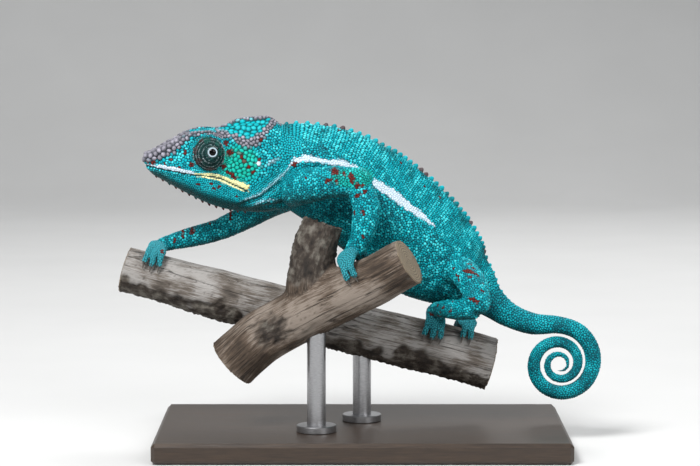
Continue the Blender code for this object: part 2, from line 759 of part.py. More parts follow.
def crest_spines(name: str, start: float, end: float, shrink_to: float = 1.0) -> bpy.types.Object:
    """The pointed tubercles along the top of the body, between two row numbers, as a hidden piece."""
    count = round(BODY.length(start, end) / CREST_PITCH)
    middles = BODY.even_steps(start, end, 2 * count + 1)[1::2]
    centre, along, _, up = BODY.line(middles)
    top = blend_rows(BODY.rows[:, 4:5], middles)
    size = np.linspace(1.0, shrink_to, count)
    roots = centre + up * (top - CREST_ROOT)
    tips = centre + up * (top + CREST_HEIGHT * size[:, None]) + along * CREST_SWEEP
    return as_tool(cones(name, roots, tips, CREST_RADIUS * (0.5 + 0.5 * size)))


def add_length(name: str, start: float, end: float, rings: int, around: int) -> bpy.types.Object:
    """One length of the neck, trunk or tail, with half a thin cut left at each end."""
    inset = GAP / 2 * (end - start) / BODY.length(start, end)
    steps = BODY.even_steps(start + inset, end - inset, rings)
    return dress(closed_loft(name, BODY.rings(steps, around)), SKIN)


def add_body(plain_head: bpy.types.Object) -> list[bpy.types.Object]:
    """The neck, the two lengths of the trunk and the tail. Returns the hidden cutters for the limbs."""
    neck = add_length("neck", NECK_START, NECK_END, 4, 22)
    front = add_length("trunk_front", NECK_END, CHEST_END, 7, 22)
    rear = add_length("trunk_rear", CHEST_END, BELLY_END, 9, 22)
    tails = []
    cuts = [BELLY_END, *TAIL_CUTS, BODY.last]
    for number, (start, end) in enumerate(zip(cuts, cuts[1:]), start=1):
        spacing = 4.2 if number < 3 else 3.0
        around = 14 if number == 1 else 10 if number < 4 else 8
        rings = max(4, round(BODY.length(start, end) / spacing))
        tails.append(add_length(f"tail_{number}", start, end, rings, around))
    cutters = [plain_head] + [grown(piece) for piece in (neck, front, rear, tails[0])]

    combine(neck, plain_head, "DIFFERENCE")
    combine(neck, crest_spines("join_neck_crest", 1.25, NECK_END - 0.08), "UNION")
    combine(front, crest_spines("join_front_crest", NECK_END + 0.05, CHEST_END - 0.05), "UNION")
    combine(rear, crest_spines("join_rear_crest", CHEST_END + 0.05, BELLY_END - 0.1, 0.6), "UNION")
    combine(tails[0], crest_spines("join_tail_crest", BELLY_END + 0.12, cuts[1] - 0.1, 0.3), "UNION")
    return cutters


# ---- Limbs ---------------------------------------------------------------------------------------

LIMB_NAMES = {
    "fore_left": ("upper_arm", "forearm", "hand"),
    "fore_right": ("upper_arm", "forearm", "hand"),
    "hind_left": ("thigh", "shank", "foot"),
    "hind_right": ("thigh", "shank", "foot"),
}


def add_limb(name: str, body_cutters: list[bpy.types.Object]) -> None:
    """One limb: its two lengths, its foot wrapped over the branch, and the foot's claws."""
    upper_name, lower_name, foot_name = (f"{name}_{part}" for part in LIMB_NAMES[name])
    upper_form, lower_form = UPPER_LIMBS[name], LOWER_LIMBS[name]
    upper_rings = upper_form.domed_rings(0, upper_form.last, 5, 11, domes=(0, 2))
    upper = dress(closed_loft(upper_name, upper_rings), SKIN)
    elbow = grown(upper)
    for cutter in body_cutters:
        combine(upper, cutter, "DIFFERENCE")
    wrist = LIMB_WRIST
    inset = GAP / 2 / lower_form.length(2, 3)
    lower = dress(closed_loft(lower_name, lower_form.domed_rings(0, wrist - inset, 6, 11)), SKIN)
    combine(lower, elbow, "DIFFERENCE")
    for cutter in body_cutters:
        combine(lower, cutter, "DIFFERENCE")

    palm_shape = palm_form(name)
    lofts = [
        palm_shape.rings(palm_shape.even_steps(0, palm_shape.last, 9), 16),
        lower_form.rings(np.linspace(wrist + 2 * inset, lower_form.last, 5), 14),
    ]
    for toe_name, toe in toes_of(name).items():
        lofts.append(toe.rings(toe.even_steps(0, toe.last, 7), 10))
        claw = claw_form(name, toe)
        clear = GAP / claw.length(0, claw.last) * claw.last
        dress(closed_loft(f"claw_{toe_name}", claw.rings(claw.even_steps(clear, claw.last, 3), 5)), CLAW)
    foot = dress(closed_loft(foot_name, *lofts), SKIN)
    fuse(foot, FOOT_FACES)


def fuse(piece: bpy.types.Object, faces: int) -> None:
    """Run the overlapping lofts of a piece into one smooth closed form of about so many faces."""
    remesh = piece.modifiers.new("fuse", "REMESH")
    remesh.mode = "VOXEL"
    remesh.voxel_size = FUSE_SIZE * MM
    remesh.use_smooth_shade = True
    fused = piece.evaluated_get(bpy.context.evaluated_depsgraph_get()).to_mesh()
    fused.calc_loop_triangles()
    thin = piece.modifiers.new("thin", "DECIMATE")
    thin.ratio = faces / len(fused.loop_triangles)


# ---- Perch and stand -----------------------------------------------------------------------------


def add_branch(name: str, form: Form, around: int, rings: int) -> bpy.types.Object:
    """A cut length of branch, knotted a little along its length."""
    steps = form.even_steps(0, form.last, rings)
    shape = form.rings(steps, around)
    middles = form.line(steps)[0]
    turn = np.linspace(0, 2 * math.pi, around, endpoint=False)
    for i, (middle, step) in enumerate(zip(middles, steps)):
        swell = 0.97 + 0.018 * np.sin(2 * turn + 1.7 * step) + 0.012 * np.sin(3 * turn - 2.3 * step + 1)
        shape[i] = middle + (shape[i] - middle) * swell[:, None]
    return dress(closed_loft(name, shape), WOOD)


def add_perch_and_stand() -> None:
    """Two crossed branches, a rod under each, and the base."""
    branches = {}
    for name, form, rings in (("back", PERCH_BACK, 9), ("front", PERCH_FRONT, 7)):
        branches[name] = add_branch(f"perch_{name}", form, 15, rings)
    stub = as_tool(add_branch("join_stub", STUB, 12, 5))
    combine(branches["front"], stub, "UNION")

    half_x, half_y = BASE_LENGTH / 2, BASE_WIDTH / 2
    corners = [(-half_x, -half_y), (half_x, -half_y), (half_x, half_y), (-half_x, half_y)]
    points = [(x, y, z) for z in (0.0, BASE_HEIGHT) for x, y in corners]
    faces = [(3, 2, 1, 0), (4, 5, 6, 7), (0, 1, 5, 4), (1, 2, 6, 5), (2, 3, 7, 6), (3, 0, 4, 7)]
    base = dress(new_object("stand_base", points, faces, smooth=False), PLINTH)
    bevel = base.modifiers.new("edge", "BEVEL")
    bevel.width, bevel.segments = BASE_EDGE * MM, 1

    for name, row in ROD_FEET.items():
        form = PERCH_BACK if name == "back" else PERCH_FRONT
        x, y, z = form.rows[row, :3]
        top = z - form.rows[row, 5] + ROD_DEPTH
        collar = BASE_HEIGHT + COLLAR_HEIGHT
        foot = BASE_HEIGHT + GAP
        profile = [(ROD_RADIUS, top), (ROD_RADIUS, collar), (COLLAR_RADIUS, collar), (COLLAR_RADIUS, foot)]
        turn = np.linspace(0, 2 * math.pi, ROD_SIDES, endpoint=False)
        circle = np.column_stack([np.cos(turn), np.sin(turn), np.zeros(ROD_SIDES)])
        rings = [circle * radius + (x, y, height) for radius, height in profile]
        rod = dress(closed_loft(f"stand_rod_{name}", np.array(rings)), STEEL)
        combine(branches[name], grown(rod), "DIFFERENCE")


def build() -> None:
    """Clear the scene and model every part."""
    for old in list(bpy.data.objects):
        bpy.data.objects.remove(old)
    add_perch_and_stand()
    plain_head = add_head()
    body_cutters = add_body(plain_head)
    for name in LIMB_NAMES:
        add_limb(name, body_cutters)


build()
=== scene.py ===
"""The finished looks of a male panther chameleon at life size, on two crossed branches on a stand.

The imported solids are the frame. One skin stands for every node of flesh, solid scales cover it,
and the eyes, claws, branches and stand are dressed round the same named forms that the solids were
built from. Forms are in millimetres and finished meshes in metres. The head points along -X, the
animal's left side faces -Y, and the origin is the middle of the underside of the stand's base.
"""

import logging
import math
from dataclasses import dataclass, field
from enum import Enum

import bmesh
import bpy
import numpy as np
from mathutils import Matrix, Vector
from mathutils.bvhtree import BVHTree
from mathutils.kdtree import KDTree


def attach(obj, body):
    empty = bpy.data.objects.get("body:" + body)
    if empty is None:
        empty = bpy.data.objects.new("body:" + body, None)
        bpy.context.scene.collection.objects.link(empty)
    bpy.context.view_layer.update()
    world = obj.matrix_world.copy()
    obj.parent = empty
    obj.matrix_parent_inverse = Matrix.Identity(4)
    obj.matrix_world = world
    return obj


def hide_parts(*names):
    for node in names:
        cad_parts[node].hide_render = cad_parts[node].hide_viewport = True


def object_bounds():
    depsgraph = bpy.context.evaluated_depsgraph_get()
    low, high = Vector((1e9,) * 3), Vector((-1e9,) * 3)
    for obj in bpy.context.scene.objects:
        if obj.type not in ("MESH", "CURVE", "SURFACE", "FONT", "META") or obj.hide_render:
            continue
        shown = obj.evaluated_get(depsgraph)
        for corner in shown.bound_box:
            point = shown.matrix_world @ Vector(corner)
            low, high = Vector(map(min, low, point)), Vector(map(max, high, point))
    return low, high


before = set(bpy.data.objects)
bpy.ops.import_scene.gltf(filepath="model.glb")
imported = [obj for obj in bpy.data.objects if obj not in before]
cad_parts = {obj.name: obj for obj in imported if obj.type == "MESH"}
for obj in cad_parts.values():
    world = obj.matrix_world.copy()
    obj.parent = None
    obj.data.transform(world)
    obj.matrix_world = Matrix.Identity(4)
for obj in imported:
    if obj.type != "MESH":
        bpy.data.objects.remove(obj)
cad_box = [list(corner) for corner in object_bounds()]

log = logging.getLogger("chameleon")

MM = 0.001
BAKE_MAP = "OFBake"


# ---- Forms shared with the solids --------------------------------


def blend_rows(rows: np.ndarray, steps: np.ndarray, closed: bool = False) -> np.ndarray:
    """Read rows of numbers along a smooth curve through them.

    Args:
        rows: The rows that the curve passes through.
        steps: Fractional row numbers to read it at.
        closed: Whether the last row leads back to the first.

    Returns:
        One row of numbers for each step.
    """
    rows = np.asarray(rows, float)
    steps = np.atleast_1d(np.asarray(steps, float))
    if closed:
        padded = np.vstack([rows[-1], rows, rows[0], rows[1]])
        first = steps.astype(int) % len(rows)
        part = (steps - steps.astype(int))[:, None]
    else:
        padded = np.vstack([2 * rows[0] - rows[1], rows, 2 * rows[-1] - rows[-2]])
        steps = np.clip(steps, 0.0, len(rows) - 1.0)
        first = np.minimum(steps.astype(int), len(rows) - 2)
        part = (steps - first)[:, None]
    before, here, after, beyond = (padded[first + k] for k in range(4))
    return 0.5 * (
        2 * here
        + (after - before) * part
        + (2 * before - 5 * here + 4 * after - beyond) * part**2
        + (3 * here - before - 3 * after + beyond) * part**3
    )


def unit(vectors: np.ndarray) -> np.ndarray:
    """Give the same vectors, one unit long."""
    vectors = np.asarray(vectors, float)
    return vectors / np.maximum(np.linalg.norm(vectors, axis=-1, keepdims=True), 1e-12)


def run_along(points: np.ndarray) -> np.ndarray:
    """Give how far along a line of points each one lies."""
    return np.concatenate([[0], np.cumsum(np.linalg.norm(np.diff(points, axis=0), axis=1))])


class Form:
    """A rounded form lofted along a curved line, in millimetres.

    Each row is x, y, z, half width, height above the line and depth below it, and, where the form
    isn't plainly oval, how far its top and its bottom are pinched towards a keel.
    """

    def __init__(self, rows: list[tuple[float, ...]], sideways: tuple[float, ...] = (0, 1, 0)) -> None:
        """Keep the form's numbers.

        Args:
            rows: The form's rows.
            sideways: The direction that its width lies nearest to.
        """
        self.rows = np.array([list(row) + [0.0] * (8 - len(row)) for row in rows], float)
        self.sideways = np.array(sideways, float)
        self.last = len(rows) - 1.0
        self.hand = 1.0
        if self.line(0.0)[3][0, 2] < 0:
            self.hand = -1.0

    def line(self, steps: np.ndarray) -> tuple[np.ndarray, ...]:
        """Measure the line at fractional row numbers.

        Args:
            steps: The row numbers.

        Returns:
            The centres, and the along, side and up directions there.
        """
        steps = np.atleast_1d(np.asarray(steps, float))
        nudge = 0.02
        ahead = blend_rows(self.rows[:, :3], steps + nudge)
        along = unit(ahead - blend_rows(self.rows[:, :3], steps - nudge))
        side = unit(self.sideways - along * (along @ self.sideways)[:, None])
        return blend_rows(self.rows[:, :3], steps), along, side, self.hand * np.cross(along, side)

    def rings(self, steps: np.ndarray, around: int, shrink: float = 0.0, twist: float = 0.0) -> np.ndarray:
        """Lay rings of points round the form, each counted from its top.

        Args:
            steps: Fractional row numbers, one for each ring.
            around: Points in a ring.
            shrink: How far inside the form the rings lie.
            twist: Angle from the form's top to the first point of each ring.

        Returns:
            The points, ring by ring.
        """
        centre, _, side, up = self.line(steps)
        size = blend_rows(self.rows[:, 3:], steps)
        turn = twist + np.linspace(0, 2 * math.pi, around, endpoint=False)
        rise, reach = np.cos(turn), np.sin(turn)
        above, below = np.clip(rise, 0, 1) ** 1.5, np.clip(-rise, 0, 1) ** 1.5
        pinch = 1 - size[:, 3:4] * above - size[:, 4:5] * below
        wide = (size[:, 0:1] - shrink) * reach * pinch
        tall = (np.where(rise > 0, size[:, 1:2], size[:, 2:3]) - shrink) * rise
        return centre[:, None] + wide[..., None] * side[:, None] + tall[..., None] * up[:, None]

    def domed_rings(
        self, start: float, end: float, count: int, around: int, shrink: float = 0.0, domes: tuple = (0, 0)
    ) -> np.ndarray:
        """Lay evenly spaced rings from one row number to another, with rounded ends where asked.

        Args:
            start: Row number of the first full ring.
            end: Row number of the last full ring.
            count: Full rings.
            around: Points in a ring.
            shrink: How far inside the form the rings lie.
            domes: Extra rings that round off the start and the end.

        Returns:
            The points, ring by ring.
        """
        rings = list(self.rings(self.even_steps(start, end, count), around, shrink))
        for first, dome in ((True, domes[0]), (False, domes[1])):
            step = start if first else end
            centre, along, _, _ = (v[0] for v in self.line(step))
            ring = rings[0] if first else rings[-1]
            reach = (self.rows[int(round(step)), 3] - shrink) * (-1 if first else 1)
            for k in range(dome):
                turn = (k + 1) / (dome + 0.35) * math.pi / 2
                capped = centre + (ring - centre) * math.cos(turn) + along * reach * math.sin(turn)
                rings.insert(0 if first else len(rings), capped)
        return np.array(rings)

    def even_steps(self, start: float, end: float, count: int) -> np.ndarray:
        """Find row numbers that lie evenly along the line.

        Args:
            start: The first row number.
            end: The last.
            count: How many to find.

        Returns:
            The row numbers.
        """
        fine = np.linspace(start, end, 400)
        run = run_along(blend_rows(self.rows[:, :3], fine))
        return np.interp(np.linspace(0, run[-1], count), run, fine)

    def length(self, start: float, end: float) -> float:
        """Measure the line between two row numbers."""
        return float(run_along(blend_rows(self.rows[:, :3], np.linspace(start, end, 400)))[-1])


# The body from the back of the head to the root of the tail: neck, shoulders, ribs, belly, hips.
BODY_ROWS = [
    (-47.0, -3, 122.0, 8.6, 13.0, 17.5, 0.30, 0.25), (-36.5, -2, 122.4, 9.2, 16.2, 20.0, 0.40, 0.30),
    (-25.8, -1, 121.6, 11.6, 18.4, 20.8, 0.45, 0.30), (-11.6, 0, 115.7, 13.4, 22.2, 22.8, 0.45, 0.25),
    (3.4, 2, 104.7, 14.4, 24.6, 23.2, 0.45, 0.22), (18.1, 4, 92.5, 14.0, 24.6, 23.0, 0.45, 0.22),
    (31.0, 6, 79.8, 12.4, 22.8, 20.6, 0.45, 0.25), (40.9, 8, 70.6, 10.4, 19.0, 13.8, 0.42, 0.25),
    (48.4, 9, 65.4, 8.0, 13.8, 8.6, 0.38, 0.20), (55.4, 9, 60.2, 6.2, 8.6, 6.0, 0.30, 0.10),
    (64.0, 8, 55.0, 5.0, 6.0, 5.2, 0.22, 0.0), (74.4, 7, 51.5, 4.4, 5.1, 4.8, 0.18, 0.0),
]
NECK_START = 0.85

# The tail's coil: a flat spiral under the tail's middle, closing towards the tip.
COIL_CENTRE = (86.0, 5.0, 34.6)
COIL_RADIUS, COIL_TIGHTEST, COIL_TURNS = 16.6, 2.9, 2.55
COIL_THICK, COIL_TIP, COIL_LEAN = 4.1, 0.85, 1.6
COIL_ROWS = 31


def coil_rows() -> list[tuple[float, ...]]:
    """Coil the tail, from its top and forwards under itself.

    Returns:
        Rows of the body's line.
    """
    rows = []
    for k in range(COIL_ROWS):
        share = k / (COIL_ROWS - 1)
        turn = 2 * math.pi * COIL_TURNS * share
        radius = COIL_TIGHTEST + (COIL_RADIUS - COIL_TIGHTEST) * (1 - share) ** 1.5
        thick = COIL_TIP + (COIL_THICK - COIL_TIP) * (1 - share) ** 1.05
        x, y, z = COIL_CENTRE
        x, z = x + radius * math.sin(turn), z + radius * math.cos(turn)
        y -= COIL_LEAN * COIL_TURNS * share
        rows.append((x, y, z, thick * 0.88, thick, thick * 0.95, 0.15, 0.0))
    return rows


BODY = Form(BODY_ROWS + coil_rows())

# The head, section by section from its back to the snout: place ahead of the eye's middle, then
# heights and half widths of the midline, the side ridge, the cheek, the lip, the jaw and the throat.
HEAD_ROWS = [
    # ahead   top  ridge      cheek       lip          jaw         throat
    (-30.5, 12.5, 3.4, 11.0, 9.4, -2.5, 9.6, -12.0, 8.0, -19.5, -24.5),
    (-25.5, 15.6, 5.4, 9.8, 10.6, -3.0, 10.4, -13.0, 9.0, -21.2, -25.8),
    (-19.5, 15.4, 7.8, 7.4, 11.2, -3.5, 11.2, -14.2, 9.6, -21.8, -26.0),
    (-13.0, 14.7, 8.8, 6.2, 11.0, -3.0, 11.4, -14.0, 9.8, -21.2, -25.6),
    (-7.0, 12.0, 8.4, 8.0, 10.0, -1.5, 11.0, -12.0, 9.6, -19.8, -24.6),
    (0.0, 9.5, 8.0, 9.9, 9.2, 0.0, 10.6, -9.8, 9.0, -17.8, -22.4),
    (7.0, 8.4, 7.2, 9.2, 8.8, 0.5, 10.0, -8.8, 8.0, -15.2, -19.0),
    (13.5, 4.9, 6.4, 6.0, 7.8, -0.5, 8.8, -8.0, 6.8, -12.6, -15.6),
    (19.5, 1.7, 5.4, 2.8, 6.4, -1.5, 7.2, -7.2, 5.2, -10.2, -12.2),
    (24.2, -0.3, 4.2, 0.6, 4.8, -2.0, 5.0, -6.0, 3.4, -8.2, -9.4),
    (27.0, -0.9, 2.8, -0.1, 2.9, -2.2, 2.6, -4.6, 1.6, -5.6, -6.0),
]
EYE_MIDDLE = (-65.8, -3.6, 127.2)
HEAD_ROLL, HEAD_YAW = math.radians(4.0), math.radians(3.0)
TURRET_ROOT, TURRET_TIP = 4.0, 15.4
TURRET_RADIUS = 7.7
EYEBALL_RADIUS, EYEBALL_PROUD, GAZE_BACK, GAZE_UP = 3.0, 0.22, 1.3, 1.5


def head_turn() -> np.ndarray:
    """Turn the head's own directions into the model's.

    Returns:
        One row each for ahead, leftwards and up.
    """
    cos_roll, sin_roll = math.cos(HEAD_ROLL), math.sin(HEAD_ROLL)
    cos_yaw, sin_yaw = math.cos(HEAD_YAW), math.sin(HEAD_YAW)
    left = (cos_roll * sin_yaw, -cos_roll * cos_yaw, -sin_roll)
    up = (sin_roll * sin_yaw, -sin_roll * cos_yaw, cos_roll)
    return np.array([(-cos_yaw, -sin_yaw, 0.0), left, up])


def on_head(points: np.ndarray) -> np.ndarray:
    """Place points, given as ahead, leftwards and up from between the eyes, in the model."""
    return np.asarray(points, float) @ head_turn() + EYE_MIDDLE


def off_head(points: np.ndarray) -> np.ndarray:
    """Undo on_head: give the model's points as ahead, leftwards and up from between the eyes."""
    return (np.asarray(points, float) - EYE_MIDDLE) @ head_turn().T


def head_section(steps: np.ndarray) -> tuple[np.ndarray, np.ndarray]:
    """Give the head's sections at fractional row numbers.

    Args:
        steps: Fractional row numbers.

    Returns:
        How far ahead each section is, and its points, leftwards and up, from the top round.
    """
    rows = blend_rows(HEAD_ROWS, steps)
    ahead, top, ridge_y, ridge_z, cheek_y, cheek_z, lip_y, lip_z, jaw_y, jaw_z, throat = rows.T
    flat = np.zeros_like(top)
    right = [(flat, top), (ridge_y, ridge_z), (cheek_y, cheek_z), (lip_y, lip_z), (jaw_y, jaw_z)]
    left = [(-y, z) for y, z in right[:0:-1]]
    loop = right + [(flat, throat)] + left
    return ahead, np.array([[y, z] for y, z in loop]).transpose(2, 0, 1)


def head_rings(steps: np.ndarray, around: int, shrink: float = 0.0) -> np.ndarray:
    """Lay rings of points round the head, in the model's place.

    Args:
        steps: Fractional row numbers, one for each ring.
        around: Points in a ring.
        shrink: How far inside the head's form the rings lie.

    Returns:
        The points, ring by ring.
    """
    ahead, loops = head_section(steps)
    turn = np.linspace(0, loops.shape[1], around, endpoint=False)
    rings = []
    for place, loop in zip(ahead, loops):
        ring = blend_rows(loop, turn, closed=True)
        ring -= unit(ring - loop.mean(axis=0)) * shrink
        rings.append(np.column_stack([np.full(around, place), ring]))
    return on_head(np.array(rings))


def turret_form(side: int) -> Form:
    """Shape the cone of skin round one eye.

    Args:
        side: 1 for the left eye and -1 for the right.

    Returns:
        The cone.
    """
    rows = []
    for share in np.linspace(0, 1, 9):
        out = TURRET_ROOT + (TURRET_TIP - TURRET_ROOT) * math.sin(share * math.pi / 2)
        wide = TURRET_RADIUS * max(math.cos(share * math.pi / 2), 0.02) ** 0.85
        x, y, z = on_head((-GAZE_BACK * share, side * out, GAZE_UP * share))
        rows.append((x, y, z, wide * 0.96, wide * 1.04, wide * 1.04))
    return Form(rows, sideways=(1, 0, 0))


def eyeball_middle(side: int) -> np.ndarray:
    """Give the middle of one eyeball, set so that only its front shows in the turret's opening."""
    out = TURRET_TIP - EYEBALL_RADIUS + EYEBALL_PROUD
    return on_head((-GAZE_BACK, side * out, GAZE_UP))


# Legs: an upper length from inside the body to the elbow or knee, and a lower one from there to
# the palm. Each row is x, y, z, half width, height above the line and depth below it.
HIND_WAY = (0.3, 0.2, 1)
UPPER_LIMBS = {
    "fore_left": Form([
        (-32.0, -5.0, 111.6, 6.0, 8.0, 8.0), (-24.5, -12.5, 113.2, 6.4, 7.6, 7.6),
        (-12.0, -18.0, 115.4, 6.0, 6.9, 6.9), (-1.2, -21.6, 115.6, 5.7, 6.5, 6.5),
    ]),
    "fore_right": Form([
        (-34.0, 5.0, 107.6, 5.6, 7.4, 7.4), (-40.5, 11.5, 103.6, 5.5, 6.4, 6.4),
        (-50.5, 16.0, 97.6, 4.9, 5.6, 5.6), (-60.5, 18.6, 92.6, 4.7, 5.2, 5.2),
    ]),
    "hind_left": Form([
        (40.0, 2.0, 77.0, 7.0, 7.8, 7.8), (44.2, -6.0, 74.8, 6.4, 7.6, 7.6),
        (47.6, -15.0, 70.6, 5.9, 7.0, 7.0), (49.2, -22.6, 64.4, 5.1, 5.7, 5.7),
    ], sideways=HIND_WAY),
    "hind_right": Form([
        (40.0, 12.0, 74.0, 6.6, 7.4, 7.4), (42.0, 20.0, 70.8, 6.1, 6.7, 6.7),
        (43.6, 28.6, 65.8, 5.4, 5.8, 5.8), (44.4, 35.4, 60.0, 4.8, 5.2, 5.2),
    ], sideways=HIND_WAY),
}
LOWER_LIMBS = {
    "fore_left": Form([
        (-0.6, -22.0, 112.6, 5.5, 5.9, 5.9), (1.6, -24.2, 105.4, 5.5, 6.0, 6.0),
        (1.0, -25.4, 98.4, 5.2, 5.7, 5.7), (-1.0, -26.0, 91.6, 4.3, 4.7, 4.7),
        (-3.8, -26.3, 86.4, 3.9, 4.2, 4.2),
    ]),
    "fore_right": Form([
        (-61.4, 18.6, 92.2, 4.5, 4.9, 4.9), (-67.0, 18.6, 90.4, 4.5, 4.9, 4.9),
        (-74.4, 17.8, 88.6, 4.2, 4.6, 4.6), (-83.0, 15.8, 86.6, 3.5, 3.8, 3.8),
        (-88.0, 14.2, 85.2, 3.1, 3.3, 3.3),
    ]),
    "hind_left": Form([
        (48.0, -22.4, 62.0, 4.7, 4.9, 4.9), (41.6, -17.6, 60.8, 4.6, 4.9, 4.9),
        (37.0, -10.6, 60.2, 4.2, 4.5, 4.5), (32.6, -2.4, 59.0, 3.5, 3.7, 3.7),
        (30.6, 2.6, 57.0, 3.2, 3.4, 3.4),
    ], sideways=HIND_WAY),
    "hind_right": Form([
        (44.0, 34.8, 57.8, 4.6, 4.8, 4.8), (43.6, 29.6, 56.2, 4.4, 4.6, 4.6),
        (43.6, 23.4, 55.8, 4.0, 4.2, 4.2), (44.2, 16.0, 55.6, 3.4, 3.6, 3.6),
        (45.0, 11.0, 53.8, 3.1, 3.3, 3.3),
    ], sideways=HIND_WAY),
}

# The perch: a long cut length of branch, and a second one that crosses in front of it.
PERCH_BACK = Form([
    (-104.0, 14.0, 74.8, 10.4, 10.4, 10.8), (-89.4, 13.0, 70.9, 10.8, 10.8, 10.8),
    (-60.0, 10.5, 63.2, 11.4, 11.4, 11.6), (-33.0, 8.0, 56.6, 11.2, 11.4, 11.4),
    (0.0, 6.6, 48.6, 11.8, 11.6, 12.2), (30.4, 6.2, 41.0, 12.0, 12.0, 12.0),
    (45.4, 6.6, 37.2, 12.0, 12.0, 12.0), (56.5, 7.2, 34.2, 12.2, 12.0, 12.4),
])
PERCH_FRONT = Form([
    (-56.0, -12.8, 37.0, 12.2, 12.0, 12.2), (-44.8, -14.8, 47.4, 12.2, 12.0, 12.4),
    (-33.5, -17.4, 54.6, 11.8, 12.0, 12.0), (-19.5, -21.6, 62.6, 12.4, 12.2, 12.2),
    (-5.2, -26.4, 69.7, 11.6, 11.6, 11.6), (8.0, -30.4, 76.4, 11.0, 11.0, 11.0),
    (19.8, -34.0, 83.4, 10.8, 10.6, 10.8),
])
STUB = Form([
    (-23.0, -21.4, 62.0, 9.6, 11.0, 11.0), (-22.4, -21.4, 76.0, 9.0, 10.0, 10.0),
    (-20.0, -21.0, 88.0, 8.4, 10.2, 10.2), (-16.4, -20.6, 99.0, 7.2, 9.2, 9.2),
])
# Where each foot holds, and how: perch, row number on it, tilt of the palm, inner and outer toes.
GRIPS = {
    "fore_left": (PERCH_FRONT, 4.42, 6.0, -1, (3, 2)),
    "fore_right": (PERCH_BACK, 0.85, -4.0, 1, (3, 2)),
    "hind_left": (PERCH_BACK, 4.92, 8.0, -1, (2, 3)),
    "hind_right": (PERCH_BACK, 5.74, 8.0, 1, (2, 3)),
}
TOE_PITCH, TOE_ROOT, TOE_END, TOE_CLEAR = 3.0, 2.0, 1.4, 0.5
TOE_WRAP = (math.radians(10), math.radians(55))
PALM_HALF, PALM_THICK = math.radians(27), 2.8
FOOT_SCALE = {"fore_left": 1.0, "fore_right": 0.92, "hind_left": 0.96, "hind_right": 0.96}
CLAW_LENGTH, CLAW_ROOT, CLAW_TIP = 2.9, 0.95, 0.28


def round_perch(name: str, turn: float, off: float, beside: float) -> np.ndarray:
    """Find a point round the perch that a foot holds.

    Args:
        name: The foot.
        turn: Angle round the perch from the middle of the foot, outwards.
        off: Distance from the bark.
        beside: Distance along the perch from the middle of the foot.

    Returns:
        The point.
    """
    perch, step, tilt, side, _ = GRIPS[name]
    centre, along, sideways, up = (v[0] for v in perch.line(step))
    radius = blend_rows(perch.rows[:, 3:4], step)[0, 0]
    turn = turn + math.radians(tilt)
    out = up * math.cos(turn) + side * sideways * math.sin(turn)
    return centre + along * beside + out * (radius + off)


def toe_form(name: str, outer: bool, number: int, count: int) -> Form:
    """Shape one toe, from inside the palm round the perch to the root of its claw.

    Args:
        name: The foot.
        outer: Whether the toe is in the bundle on the outside of the perch.
        number: Its place in the bundle, from 0.
        count: Toes in the bundle.

    Returns:
        The toe.
    """
    scale = FOOT_SCALE[name]
    turns = np.linspace(*TOE_WRAP, 5) * (1 if outer else -1)
    rows = []
    for k, turn in enumerate(turns):
        share = k / (len(turns) - 1)
        radius = scale * (TOE_ROOT + (TOE_END - TOE_ROOT) * share)
        knuckle = 0.22 * math.sin(share * 2.5 * math.pi) ** 2
        beside = (number - (count - 1) / 2 + 0.07) * TOE_PITCH * scale * (0.86 + 0.34 * share)
        arch = 1.2 * math.sin(share * math.pi)
        shorter = 1 - 0.07 * abs(number - (count - 1) / 2)
        point = round_perch(name, turn * shorter, TOE_CLEAR + radius + arch, beside)
        rows.append((*point, radius + knuckle, radius, radius))
    return Form(rows, sideways=GRIPS[name][0].line(GRIPS[name][1])[1][0])


def palm_form(name: str) -> Form:
    """Shape the palm or sole of a foot, laid across the perch.

    Args:
        name: The foot.

    Returns:
        Its form.
    """
    scale = FOOT_SCALE[name]
    rows = []
    for share in np.linspace(-1, 1, 7):
        half = math.sqrt(max(1 - (0.93 * share) ** 2, 0))
        thick = scale * PALM_THICK * (0.45 + 0.55 * half)
        point = round_perch(name, share * PALM_HALF, TOE_CLEAR + thick, 0.0)
        rows.append((*point, scale * 4.9 * (0.62 + 0.38 * half), thick, thick))
    return Form(rows, sideways=GRIPS[name][0].line(GRIPS[name][1])[1][0])


def toes_of(name: str) -> dict[str, Form]:
    """Shape each toe of a foot, the inner ones first.

    Args:
        name: The foot.

    Returns:
        The toes' forms by their names.
    """
    inner, outer = GRIPS[name][4]
    return {
        f"{name}_{'outer' if is_outer else 'inner'}_{number + 1}": toe_form(name, is_outer, number, count)
        for is_outer, count in ((False, inner), (True, outer))
        for number in range(count)
    }


def claw_form(name: str, toe: Form) -> Form:
    """Shape the claw that grows on from the end of a toe, hooked towards the bark.

    Args:
        name: The foot.
        toe: The toe's form.

    Returns:
        The claw's form.
    """
    centre, along, _, _ = (v[0] for v in toe.line(toe.last))
    perch, step = GRIPS[name][:2]
    down = unit(perch.line(step)[0][0] - centre)
    rows = []
    for share in np.linspace(0, 1, 5):
        radius = CLAW_ROOT + (CLAW_TIP - CLAW_ROOT) * share
        point = centre + along * (CLAW_LENGTH * share) + down * (0.9 * share**2)
        rows.append((*point, radius * 0.8, radius, radius))
    return Form(rows, sideways=toe.sideways)


# ---- Small tools -------------------------------------------------


def soft(values: np.ndarray, low: float, high: float) -> np.ndarray:
    """Rise smoothly from 0 at one value to 1 at another."""
    share = np.clip((np.asarray(values, float) - low) / (high - low), 0.0, 1.0)
    return share * share * (3 - 2 * share)


